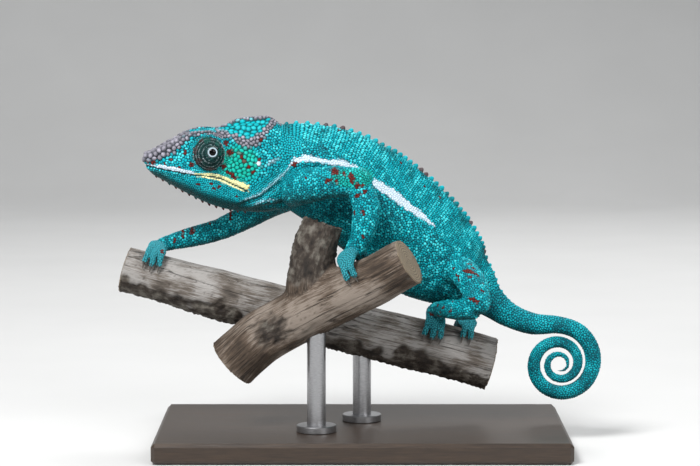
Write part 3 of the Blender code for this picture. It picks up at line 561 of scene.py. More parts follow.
def beside_line(points: np.ndarray, line: list[tuple[float, ...]]) -> tuple[np.ndarray, np.ndarray]:
    """Measure flat points against a line of straight stretches.

    Args:
        points: Points with two coordinates each.
        line: The line's points, each with two coordinates and any further numbers.

    Returns:
        The distance to the line, positive to its left; and the line's further numbers there.
    """
    line = np.asarray(line, float)
    ahead, change = np.diff(line[:, :2], axis=0), np.diff(line[:, 2:], axis=0)
    gap = points[:, None] - line[:-1, :2]
    share = np.clip((gap * ahead).sum(axis=2) / (ahead**2).sum(axis=1), 0, 1)
    gap = gap - share[..., None] * ahead
    distance = np.linalg.norm(gap, axis=2)
    side = np.sign(ahead[:, 0] * gap[..., 1] - ahead[:, 1] * gap[..., 0])
    stretch = distance.argmin(axis=1)
    near = (np.arange(len(points)), stretch)
    return (distance * side)[near], line[stretch, 2:] + share[near][:, None] * change[stretch]


def ripple(points: np.ndarray, size: float, seed: int) -> np.ndarray:
    """Give a smooth random number from -1 to 1 at each point.

    Args:
        points: The points.
        size: Rough distance from one swell to the next.
        seed: Picks the pattern.

    Returns:
        One number for each point.
    """
    rng = np.random.default_rng(seed)
    total = np.zeros(len(points))
    for _ in range(9):
        wave = unit(rng.normal(size=3)) * rng.uniform(0.7, 1.6) * 2 * math.pi / size
        total += np.sin(points @ wave + rng.uniform(0, 2 * math.pi))
    return np.clip(total / 4.0, -1, 1)


def kd_tree(points: np.ndarray) -> KDTree:
    """Make a tree that finds the nearest of some points.

    Args:
        points: The points.

    Returns:
        The tree.
    """
    tree = KDTree(len(points))
    for number, point in enumerate(points):
        tree.insert(point, number)
    tree.balance()
    return tree


def add_loft(points: list, faces: list, rings: np.ndarray) -> None:
    """Add one closed loft, with a fan over each end, to lists of points and faces.

    Args:
        points: The points so far.
        faces: The faces so far, as tuples of point numbers.
        rings: The loft's points, ring by ring.
    """
    count, around, _ = rings.shape
    base = len(points)
    points += [*rings.reshape(-1, 3), rings[0].mean(axis=0), rings[-1].mean(axis=0)]
    for j in range(around):
        k = (j + 1) % around
        for i in range(count - 1):
            here, ahead = base + i * around, base + (i + 1) * around
            faces.append((here + j, here + k, ahead + k, ahead + j))
        last, middle = base + (count - 1) * around, base + count * around
        faces += [(base + k, base + j, middle), (last + j, last + k, middle + 1)]


def linked(name: str, data: bpy.types.ID) -> bpy.types.Object:
    """Put new data in the scene as an object.

    Args:
        name: The object's name.
        data: The data.

    Returns:
        The object.
    """
    made = bpy.data.objects.new(name, data)
    bpy.context.scene.collection.objects.link(made)
    return made


def new_piece(name: str, points: np.ndarray, faces: list, smooth: bool = True) -> bpy.types.Object:
    """Make an object from points in millimetres, kept inside the solids' box.

    Args:
        name: The object's name.
        points: The points.
        faces: Tuples of point numbers.
        smooth: Whether the faces are shaded smooth.

    Returns:
        The object, in the scene.
    """
    mesh = bpy.data.meshes.new(name)
    mesh.from_pydata(np.clip(np.asarray(points, float) * MM, *cad_box).tolist(), [], faces)
    mesh.update()
    if smooth:
        mesh.shade_smooth()
    return linked(name, mesh)


def face_outwards(mesh: bpy.types.Mesh) -> None:
    """Turn all faces of a closed mesh outwards.

    Args:
        mesh: The mesh.
    """
    work = bmesh.new()
    work.from_mesh(mesh)
    bmesh.ops.recalc_face_normals(work, faces=work.faces)
    work.to_mesh(mesh)
    work.free()


def lofted_piece(name: str, lofts: list[np.ndarray]) -> bpy.types.Object:
    """Make an object of one or more closed lofts.

    Args:
        name: The object's name.
        lofts: The lofts' points in millimetres, ring by ring.

    Returns:
        The object, in the scene.
    """
    points, faces = [], []
    for rings in lofts:
        add_loft(points, faces, rings)
    piece = new_piece(name, points, faces)
    face_outwards(piece.data)
    return piece


def give(mesh: bpy.types.Mesh, name: str, values: np.ndarray) -> None:
    """Store one number, or three, for each point of a mesh.

    Args:
        mesh: The mesh.
        name: The name to store them under.
        values: The numbers.
    """
    kind, slot = ("FLOAT", "value") if values.ndim == 1 else ("FLOAT_VECTOR", "vector")
    layer = mesh.attributes.new(name, kind, "POINT")
    layer.data.foreach_set(slot, np.ascontiguousarray(values, np.float32).ravel())


def settle(piece: bpy.types.Object, stood_for: list[str]) -> None:
    """Tie a finished piece to the frame.

    Args:
        piece: The piece, in place.
        stood_for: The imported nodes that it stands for.
    """
    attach(piece, "root")
    if stood_for:
        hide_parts(*stood_for)
    log.info("%s: %d faces", piece.name, len(piece.data.polygons))


# ---- Surfaces ----------------------------------------------------


@dataclass
class Surface:
    """A closed surface of four-sided faces, in millimetres."""

    points: np.ndarray
    quads: np.ndarray

    @classmethod
    def fused(cls, lofts: list[np.ndarray], size: float) -> "Surface":
        """Run overlapping closed lofts into one surface.

        Args:
            lofts: The lofts.
            size: Width of its faces.

        Returns:
            The surface.
        """
        rough = lofted_piece("rough", lofts)
        remesh = rough.modifiers.new("fuse", "REMESH")
        remesh.mode = "VOXEL"
        remesh.voxel_size = size * MM
        result = rough.evaluated_get(bpy.context.evaluated_depsgraph_get()).to_mesh()
        points, quads = np.empty(len(result.vertices) * 3), np.empty(len(result.loops), int)
        result.vertices.foreach_get("co", points)
        result.loops.foreach_get("vertex_index", quads)
        rough.to_mesh_clear()
        bpy.data.objects.remove(rough)
        return cls(points.reshape(-1, 3) / MM, quads.reshape(-1, 4))

    def normals(self) -> np.ndarray:
        """Give the outward direction at each point.

        Returns:
            The directions, one unit long.
        """
        corners = self.points[self.quads]
        facing = np.cross(corners[:, 2] - corners[:, 0], corners[:, 3] - corners[:, 1])
        total = np.zeros_like(self.points)
        for k in range(4):
            for axis in range(3):
                total[:, axis] += np.bincount(self.quads[:, k], facing[:, axis], len(total))
        return unit(total)

    def averaged(self, values: np.ndarray) -> np.ndarray:
        """Give each point the mean of its neighbours' numbers.

        Args:
            values: One number, or several, for each point.

        Returns:
            The means, in the same layout.
        """
        here, there = self.quads.ravel(), np.roll(self.quads, -1, axis=1).ravel()
        count = np.maximum(np.bincount(here, minlength=len(values)), 1)
        flat = values.reshape(len(values), -1)
        means = [np.bincount(here, flat[there, k], len(values)) / count for k in range(flat.shape[1])]
        return np.stack(means, -1).reshape(values.shape)

    def smooth(self, times: int) -> None:
        """Even out the surface without shrinking it much."""
        for turn in range(2 * times):
            self.points += (0.5 if turn % 2 == 0 else -0.51) * (self.averaged(self.points) - self.points)

    def fill_creases(self, times: int) -> None:
        """Fill hollow creases, such as where a leg leaves the body, and leave the rest.

        Args:
            times: How often the creases are drawn up.
        """
        for _ in range(times):
            normals = self.normals()
            lift = np.einsum("ij,ij->i", self.averaged(self.points) - self.points, normals)
            self.points += 0.8 * np.maximum(lift, 0)[:, None] * normals

    def tree(self) -> BVHTree:
        """Give a tree that finds the nearest place on the surface."""
        return BVHTree.FromPolygons(self.points.tolist(), self.quads.tolist())


@dataclass
class Loft:
    """One closed loft of the flesh, with the region it is of and each ring's row number."""

    region: str
    rings: np.ndarray
    steps: np.ndarray


class Flesh:
    """The whole animal as overlapping lofts, a set depth inside its solids."""

    # Each loft's rings, and the points in a ring.
    HEAD_SIZE, TURRET_SIZE, TRUNK_SIZE, TAIL_SIZE = (90, 88), (40, 48), (120, 96), (300, 32)
    UPPER_SIZE, LOWER_SIZE, PALM_SIZE, TOE_SIZE = (30, 36), (34, 34), (26, 30), (18, 16)
    TRUNK_END, TAIL_START, TURRET_END = 8.0, 7.8, 7.75

    def __init__(self, depth: float) -> None:
        """Lay the lofts out.

        Args:
            depth: How far inside the solids they lie.
        """
        self.depth = depth
        self.lofts: list[Loft] = []
        self.add_head()
        self.add_form("trunk", BODY, self.TRUNK_SIZE, NECK_START, self.TRUNK_END)
        self.add_form("tail", BODY, self.TAIL_SIZE, self.TAIL_START, domes=(0, 3))
        for name in GRIPS:
            self.add_form(name + "_upper", UPPER_LIMBS[name], self.UPPER_SIZE, domes=(0, 5))
            self.add_form(name + "_lower", LOWER_LIMBS[name], self.LOWER_SIZE)
            self.add_form(name + "_foot", palm_form(name), self.PALM_SIZE)
            for toe in toes_of(name).values():
                self.add_form(name + "_foot", toe, self.TOE_SIZE, domes=(0, 2))

    def add(self, region: str, rings: np.ndarray, steps: np.ndarray) -> None:
        """Keep one loft. Extra rings that round an end off count as that end's."""
        steps = np.concatenate([steps, np.full(len(rings) - len(steps), steps[-1])])
        self.lofts.append(Loft(region, rings, steps))

    def add_form(
        self,
        region: str,
        form: Form,
        size: tuple[int, int],
        start: float = 0.0,
        end: float | None = None,
        domes: tuple[int, int] = (0, 0),
    ) -> None:
        """Lay a form, or a length of it.

        Args:
            region: The region that it is of.
            form: The form.
            size: Its rings, and the points in a ring.
            start: Row number to start at.
            end: Row number to end at, or None for the form's last.
            domes: Extra rings that round off the start and the end.
        """
        end = form.last if end is None else end
        rings = form.domed_rings(start, end, *size, self.depth, domes)
        self.add(region, rings, form.even_steps(start, end, size[0]))

    def add_head(self) -> None:
        """Lay the head, with a rounded snout, and its two eye turrets."""
        count, around = self.HEAD_SIZE
        steps = np.linspace(0, 10, count)
        rings = head_rings(steps, around, self.depth)
        middle = rings[-1].mean(axis=0)
        last, nose = rings[-1] - middle, on_head((1.1 - self.depth, 0, 0)) - on_head((0, 0, 0))
        ends = [middle + last * wide + nose * out for wide, out in ((0.88, 0.6), (0.58, 1.0))]
        self.add("head", np.concatenate([rings, ends]), steps)
        for side, name in ((1, "turret_left"), (-1, "turret_right")):
            count, around = self.TURRET_SIZE
            steps = np.linspace(0, self.TURRET_END, count)
            self.add(name, turret_form(side).rings(steps, around, self.depth), steps)


@dataclass
class Places:
    """Points of the skin and what each is a place on: its region, how far along it and how far round."""

    names: list[str]
    points: np.ndarray
    normals: np.ndarray
    region: np.ndarray
    step: np.ndarray
    share: np.ndarray
    turn: np.ndarray
    head: np.ndarray

    @classmethod
    def found(cls, flesh: Flesh, points: np.ndarray, normals: np.ndarray) -> "Places":
        """Find what part of the flesh each point lies on.

        Args:
            flesh: The lofts that the skin was made from.
            points: The points.
            normals: The skin's outward directions there.

        Returns:
            The places.
        """
        names = sorted({loft.region for loft in flesh.lofts})
        labels = []
        for loft in flesh.lofts:
            count, around, _ = loft.rings.shape
            share = run_along(loft.rings.mean(axis=1))
            share /= share[-1]
            known = [np.full(count, names.index(loft.region)), loft.steps, np.gradient(loft.steps), share]
            known = np.repeat(np.column_stack([*known, np.gradient(share)]), around, axis=0)
            turns = np.tile(np.linspace(0, 2 * math.pi, around, endpoint=False), count)
            over = (np.roll(loft.rings, -1, axis=1) - np.roll(loft.rings, 1, axis=1)) / 2
            ways = (loft.rings, np.gradient(loft.rings, axis=0), over)
            turns = np.column_stack([turns, np.full(len(turns), 2 * math.pi / around)])
            labels.append(np.hstack([known, turns, *(way.reshape(-1, 3) for way in ways)]))
        labels = np.concatenate(labels)
        tree = kd_tree(labels[:, 7:10])
        label = labels[[tree.find(point)[1] for point in points]]
        spot, along, over = label[:, 7:10], label[:, 10:13], label[:, 13:16]
        on, round_ = (
            np.clip(((points - spot) * way).sum(1) / np.maximum((way**2).sum(1), 1e-6), -0.8, 0.8)
            for way in (along, over)
        )
        region, step = label[:, 0].astype(int), label[:, 1] + on * label[:, 2]
        share = label[:, 3] + on * label[:, 4]
        turn = (label[:, 5] + round_ * label[:, 6]) % (2 * math.pi)
        return cls(names, points, normals, region, step, share, turn, off_head(points))

    def on(self, *endings: str) -> np.ndarray:
        """Say which places lie on regions whose names end so."""
        return np.isin(self.region, [k for k, name in enumerate(self.names) if name.endswith(endings)])

    def off_top(self) -> np.ndarray:
        """Give how far round from the top each place lies, whichever way is shorter."""
        return np.abs((self.turn + math.pi) % (2 * math.pi) - math.pi)


@dataclass
class Pattern:
    """The skin laid out flat, with an island for each region, on a square sheet."""

    flesh: Flesh
    sheet: float = 236.0
    edge: float = 3.0
    foot_size: tuple[float, float] = (26.0, 34.0)
    foot_reach: float = 14.0

    def islands(self) -> dict[str, tuple[np.ndarray, np.ndarray]]:
        """Measure the regions and pack their islands in shelves, the tallest first.

        Returns:
            Each region's corner on the sheet and its size.
        """
        sizes = {}
        for loft in self.flesh.lofts:
            if loft.region.endswith("_foot"):
                sizes[loft.region] = sizes[loft.region + "_under"] = self.foot_size
            else:
                rounds = np.linalg.norm(np.roll(loft.rings, 1, axis=1) - loft.rings, axis=2).sum(axis=1)
                sizes[loft.region] = (rounds.max(), run_along(loft.rings.mean(axis=1))[-1])
        found = {}
        across = up = shelf = 0.0
        for region in sorted(sizes, key=lambda name: -sizes[name][1]):
            wide, tall = sizes[region]
            if across + wide > self.sheet:
                across, up, shelf = 0.0, up + shelf + self.edge, 0.0
            found[region] = (np.array((across, up)), np.array((wide, tall)))
            across, shelf = across + wide + self.edge, max(shelf, tall)
        return found

    def lay(self, places: Places) -> np.ndarray:
        """Give each place's spot on the sheet, from 0 to 1.

        Args:
            places: The places.

        Returns:
            The spots.
        """
        islands = self.islands()
        flat = np.zeros((len(places.points), 2))
        for number, region in enumerate(places.names):
            here = places.region == number
            corner, size = islands[region]
            if region.endswith("_foot"):
                spot, under = self.unroll_foot(region, places.points[here], places.normals[here])
                flat[here] = spot + np.where(under[:, None], islands[region + "_under"][0], corner)
            else:
                share = np.column_stack([places.turn[here] / (2 * math.pi) % 1.0, places.share[here]])
                flat[here] = corner + np.clip(share, 0, 1) * size
        return flat / self.sheet

    def unroll_foot(
        self, region: str, points: np.ndarray, normals: np.ndarray
    ) -> tuple[np.ndarray, np.ndarray]:
        """Unroll a foot from its perch.

        Args:
            region: The foot's region.
            points: Points of it.
            normals: The outward directions there.

        Returns:
            The points' spots on an island, and which of them are on the under side.
        """
        perch, step, tilt, side, _ = GRIPS[region.removesuffix("_foot")]
        centre, along, sideways, up = (v[0] for v in perch.line(step))
        away = points - centre
        turn = np.arctan2(away @ sideways * side, away @ up) - math.radians(tilt)
        spot = np.column_stack([away @ along, turn * self.foot_reach]) + np.array(self.foot_size) / 2
        out = unit(away - np.outer(away @ along, along))
        return np.clip(spot, 0, self.foot_size), np.einsum("ij,ij->i", out, normals) < 0


# ---- Markings ----------------------------------------------------

# Lines and spots on the head, as places ahead and up from between the eyes, from the back forwards.
LIP_LINE = [
    (-16.8, -15.6), (-13.9, -14.2), (-9.0, -11.9), (-4.5, -9.8), (0.0, -9.0), (7.4, -8.4), (16.0, -7.0),
    (23.5, -5.8), (30.0, -5.0),
]
# Along the lips: how high the yellow reaches above the line, how low below it, and the white above it.
LIP_COLOURS = [
    (-16.9, 2.4, 0.3, 0.0), (-15.0, 2.8, 0.6, 0.0), (-11.6, 2.2, 1.0, 0.0), (-6.0, 1.5, 1.2, 0.0),
    (0.0, 1.4, 0.9, 0.0), (4.0, 1.1, 0.6, 0.6), (8.0, 0.3, 0.2, 1.5), (14.0, 0.0, 0.0, 1.9),
    (20.0, 0.0, 0.0, 1.6), (24.5, 0.0, 0.0, 0.9),
]
# Grey rims on the side of the head, as ahead, up and half width: along the casque, and on the snout.
CASQUE_RIM = [
    (-4.0, 9.4, 1.1), (-9.6, 8.0, 1.0), (-12.5, 6.9, 1.6), (-16.0, 5.2, 2.1), (-19.5, 5.4, 2.1),
    (-22.2, 7.3, 1.6), (-24.6, 10.2, 1.3), (-27.4, 13.2, 1.2), (-29.2, 15.6, 1.2),
]
SNOUT_RIM = [(9.0, 7.2, 1.0), (12.0, 5.0, 1.6), (16.2, 2.5, 2.2), (23.3, -0.4, 2.4), (27.8, -1.3, 2.0)]
# Rings of scales on the eye turrets, from the opening outwards, as widths and tones.
TURRET_RINGS = [
    (0.55, 0.40), (0.80, 0.24), (0.50, 0.62), (0.90, 0.20), (0.80, 0.42), (0.50, 0.70), (0.90, 0.12),
    (0.80, 0.45), (0.50, 0.85), (0.90, 0.10), (0.80, 0.38), (0.50, 0.80), (0.90, 0.08), (0.60, 0.95),
    (0.90, 0.06), (0.70, 0.70), (0.90, 0.10), (0.90, 0.30), (0.90, 0.10),
]
# Rows of scales along the lips, as the height above their line, spacing, and where they start and end.
LIP_ROWS = [
    (0.66, 1.28, -15.8, 27.0), (1.32, 0.98, -15.8, 25.0), (2.02, 0.92, -16.0, 12.0),
    (2.70, 0.86, -16.2, 1.0), (-0.66, 1.24, -15.6, 26.0), (-1.28, 0.90, -15.8, 25.0),
]
JAW_ROWS, JAW_PITCH = 9, 0.84
FOLD_ROWS, FOLD_PITCH = 9, 0.84
# Where painted shade darkens the jaw underneath.
JAW_SHADE = [
    (-22.0, -24.5), (-14.0, -23.4), (-6.7, -21.4), (1.9, -17.3), (12.6, -13.0), (23.3, -8.2), (30.0, -5.0),
]
# Spots, as their place, reach ahead, reach up and tilt. On the turrets: red-brown and green patches.
TURRET_REDS = [
    (3.9, 7.0, 1.7, 1.3, 0.4), (-2.2, 7.6, 1.5, 1.0, 0.0), (-5.6, 6.4, 1.0, 1.3, -0.5),
    (5.9, 2.6, 1.2, 2.8, 0.0), (4.4, -2.6, 1.1, 2.2, 0.5), (-0.4, -5.8, 2.2, 0.8, 0.0),
]
TURRET_GREENS = [
    (5.4, 5.4, 1.3, 1.2, 0.0), (0.7, 6.9, 1.6, 1.4, 0.0), (-3.9, 6.0, 1.0, 1.5, 0.0),
    (-4.9, 1.6, 1.9, 1.5, 0.0),
]
HEAD_SPOTS = [
    (24.2, -3.7, 2.0, 0.5, 0.05), (16.5, -2.4, 0.8, 0.6, 0.0), (18.8, -3.9, 0.5, 0.4, 0.0),
    (9.9, 1.0, 0.5, 0.9, 0.0), (7.2, -4.1, 0.9, 0.8, 0.0), (13.2, -5.3, 1.0, 0.3, 0.1),
    (-9.0, 1.0, 1.2, 1.3, 0.0), (-13.6, 0.2, 0.6, 1.3, 0.0), (-14.7, -1.9, 0.8, 0.7, 0.4),
    (-16.3, -4.9, 0.5, 0.7, 0.0), (-18.7, -3.3, 0.5, 0.5, 0.0), (-21.5, -1.5, 0.7, 0.4, 0.0),
    (-21.4, -4.6, 0.5, 0.4, 0.0), (-6.4, -4.9, 0.9, 1.1, 0.4), (-8.4, -7.3, 1.3, 0.8, 0.5),
    (-10.7, -9.2, 1.2, 0.9, 0.5), (-7.3, 5.2, 0.9, 0.9, 0.0), (-2.0, -14.4, 0.8, 0.7, 0.0),
    (-4.3, -13.7, 0.6, 0.6, 0.0), (-1.0, -11.9, 0.7, 0.5, 0.3), (4.4, -12.6, 0.6, 0.6, 0.0),
    (-16.8, -13.9, 0.4, 0.4, 0.0), (-11.9, -17.4, 0.5, 0.5, 0.0), (-19.3, -7.0, 0.8, 0.4, -0.3),
    (-22.4, 6.4, 0.7, 0.5, 0.0),
]
PALE_EAR_SPOT = (-21.1, -3.1, 1.2, 1.0, 0.0)
# Lines and spots on the body, as model X and Z, from the front backwards, with half widths.
STRIPES = [
    [
        (-30.8, 121.9, 0.3), (-28.4, 124.2, 0.9), (-24.0, 125.1, 1.3), (-19.6, 124.5, 1.0),
        (-15.0, 123.4, 0.9), (-10.4, 123.5, 1.4), (-6.0, 122.0, 1.2), (-0.4, 120.4, 0.2),
    ],
    [
        (5.6, 114.6, 1.4), (7.6, 113.0, 1.7), (12.2, 110.2, 1.9), (16.6, 106.6, 1.8),
        (21.8, 102.8, 1.5), (26.0, 99.6, 1.1), (31.5, 95.2, 0.2),
    ],
]
# Pale lines along the ridges of the neck folds, with half widths: a painted highlight on the fold crests,
# over whitish scales.
PALE_FOLD_HIGHLIGHTS = [
    [
        (-51.9, 106.9, 0.2), (-44.0, 109.6, 0.7), (-37.8, 114.5, 0.8),
        (-33.8, 118.2, 0.8), (-31.0, 121.4, 0.7),
    ],
    [(-42.4, 121.4, 0.3), (-39.0, 123.4, 1.0), (-35.6, 125.0, 0.6)],
    [(-46.9, 105.4, 0.3), (-42.0, 106.9, 0.7), (-35.8, 107.3, 0.3)],
]
NECK_FOLDS = [
    [
        (-52.0, 104.9, 0.5), (-43.6, 108.0, 0.9), (-36.6, 113.2, 0.9),
        (-32.2, 117.4, 0.8), (-28.4, 120.8, 0.4),
    ],
    [(-48.0, 103.0, 0.2), (-40.0, 104.4, 0.7), (-33.0, 105.4, 0.3)],
    [
        (-31.0, 118.6, 0.3), (-25.4, 121.6, 0.7), (-18.0, 121.3, 0.7),
        (-10.5, 120.6, 0.6), (-5.0, 118.6, 0.3),
    ],
    [(-27.4, 116.0, 0.2), (-23.6, 118.6, 0.5), (-18.6, 119.0, 0.5), (-13.0, 118.2, 0.2)],
    [(-40.4, 125.0, 0.2), (-37.0, 118.0, 0.4), (-38.4, 111.0, 0.2)],
]
ELBOW_GREEN = (-4.0, 117.5, 9.0, 4.0, 0.0)
BODY_SPOTS = [
    (-28.9, 122.6, 1.5, 1.0, 0.5), (-25.6, 118.8, 0.5, 0.5, 0.0), (-23.3, 117.2, 0.6, 0.4, 0.7),
    (-10.1, 136.6, 0.5, 0.5, 0.0), (-6.5, 135.2, 0.5, 0.6, 0.0), (16.5, 122.2, 0.6, 0.4, 0.0),
    (27.0, 112.4, 0.5, 0.5, 0.0), (33.4, 108.0, 0.4, 0.7, 0.0),
]
ARM_SPOTS = [
    (-11.5, 120.2, 1.9, 1.4, -0.3), (-14.0, 116.4, 1.5, 1.0, 0.4), (-11.0, 116.2, 0.7, 1.0, 0.0),
    (-7.6, 119.4, 0.6, 0.8, 0.0), (-4.6, 117.6, 1.1, 2.2, 0.1), (-2.3, 114.4, 1.0, 1.3, 0.4),
    (0.2, 114.8, 0.8, 0.6, 0.6), (-1.9, 110.5, 1.7, 0.7, 0.6), (0.8, 111.9, 0.7, 1.2, -0.5),
    (4.0, 113.4, 0.5, 0.5, 0.0), (0.1, 103.5, 0.8, 0.8, 0.3), (-3.2, 103.2, 0.4, 1.0, 0.0),
    (3.8, 96.6, 0.5, 0.5, 0.0), (0.4, 93.4, 0.5, 0.5, 0.0), (-24.0, 117.0, 0.5, 0.5, 0.0),
]
FAR_ARM_SPOTS = [
    (-74.2, 91.4, 0.9, 1.5, -0.2), (-78.4, 91.2, 0.8, 1.0, 0.0), (-78.2, 89.0, 0.9, 0.8, 0.0),
    (-81.6, 87.6, 0.7, 0.6, 0.0), (-86.8, 83.4, 0.7, 0.8, 0.0), (-57.4, 97.6, 0.6, 2.4, 0.1),
    (-66.8, 94.6, 0.5, 0.6, 0.0),
]


def spotted(flat: np.ndarray, spots: list[tuple[float, ...]]) -> np.ndarray:
    """Give how far each flat point lies inside any of some spots.

    Args:
        flat: Points with two coordinates each.
        spots: The spots, each as a place, two reaches and a tilt.

    Returns:
        A share from 0 to 1 for each point.
    """
    total = np.zeros(len(flat))
    for x, z, wide, tall, tilt in spots:
        gap = flat - (x, z)
        across = gap[:, 0] * math.cos(tilt) + gap[:, 1] * math.sin(tilt)
        up = gap[:, 1] * math.cos(tilt) - gap[:, 0] * math.sin(tilt)
        total = np.maximum(total, soft(-np.hypot(across / wide, up / tall), -1.15, -0.85))
    return total


def sight_of(side: int) -> np.ndarray:
    """Give the direction that one eye looks in."""
    return unit(eyeball_middle(side) - on_head((0, side * TURRET_ROOT, 0)))


def off_sight(points: np.ndarray, side: int) -> tuple[np.ndarray, np.ndarray]:
    """Measure points against one eye's line of sight.

    Args:
        points: The points.
        side: 1 for the left eye and -1 for the right.

    Returns:
        Their distances from the line, and their heights along it.
    """
    away = points - eyeball_middle(side)
    along = away @ sight_of(side)
    return np.linalg.norm(away - np.outer(along, sight_of(side)), axis=1), along


def from_sight(points: np.ndarray) -> np.ndarray:
    """Give each point's distance from the line of sight of the eye on its own side."""
    left, right = (off_sight(points, side)[0] for side in (1, -1))
    return np.where(off_head(points)[:, 1] > 0, left, right)


def gap_to(points: np.ndarray, line: np.ndarray) -> np.ndarray:
    """Give each point's distance from the nearest spot of a finely divided line."""
    return np.min([np.linalg.norm(points - spot, axis=1) for spot in line], axis=0)


def rim_gap(head: np.ndarray) -> tuple[np.ndarray, np.ndarray]:
    """Measure how far points of the head lie outside its grey rims.

    Args:
        head: The points, in the head's own directions.

    Returns:
        The distance from the nearest rim's edge, below zero on the rim; and the signed distance from
        the middle of the casque's side rim, above zero below or behind it.
    """
    ahead, left, up = head.T
    place, top, out, height = blend_rows(HEAD_ROWS, np.linspace(0, 10, 120))[:, :4].T
    brows = (np.column_stack([place, side * out, height]) for side in (1, -1))
    over_left, over_right = (brow[place > -6.5] for brow in brows)
    crest = np.column_stack([place, 0 * top, top])[place < -5.0]
    gap = np.minimum(gap_to(head, over_left), gap_to(head, over_right)) - 1.3
    gap = np.minimum(gap, gap_to(head, crest) - 1.35)
    beside, half = beside_line(head[:, (0, 2)], CASQUE_RIM)
    gap = np.minimum(gap, np.abs(beside) - half[:, 0] + np.where(np.abs(left) > 1.5, 0.0, 9.0))
    snout, half = beside_line(head[:, (0, 2)], SNOUT_RIM)
    on_top = np.where((ahead > 13.0) & (up > 12.2 - 0.55 * ahead), -1.0, 9.0)
    return np.minimum(gap, np.minimum(np.abs(snout) - half[:, 0], on_top)), beside


def turret_bands() -> tuple[np.ndarray, np.ndarray, np.ndarray]:
    """Give the rings of scales on a turret, from the opening outwards.

    Returns:
        Their steps along the turret, their widths and their tones.
    """
    fine = np.linspace(7.78, 0.5, 600)
    edge = turret_form(1).rings(fine, 1)[:, 0]
    run = run_along(edge)
    start = run[np.argmax(off_sight(edge, 1)[0] > 2.0)]
    widths, tones = np.array(TURRET_RINGS).T
    middles = start + np.cumsum(widths) - widths / 2
    inside = middles < run[-1]
    return np.interp(middles[inside], run, fine), widths[inside], tones[inside]


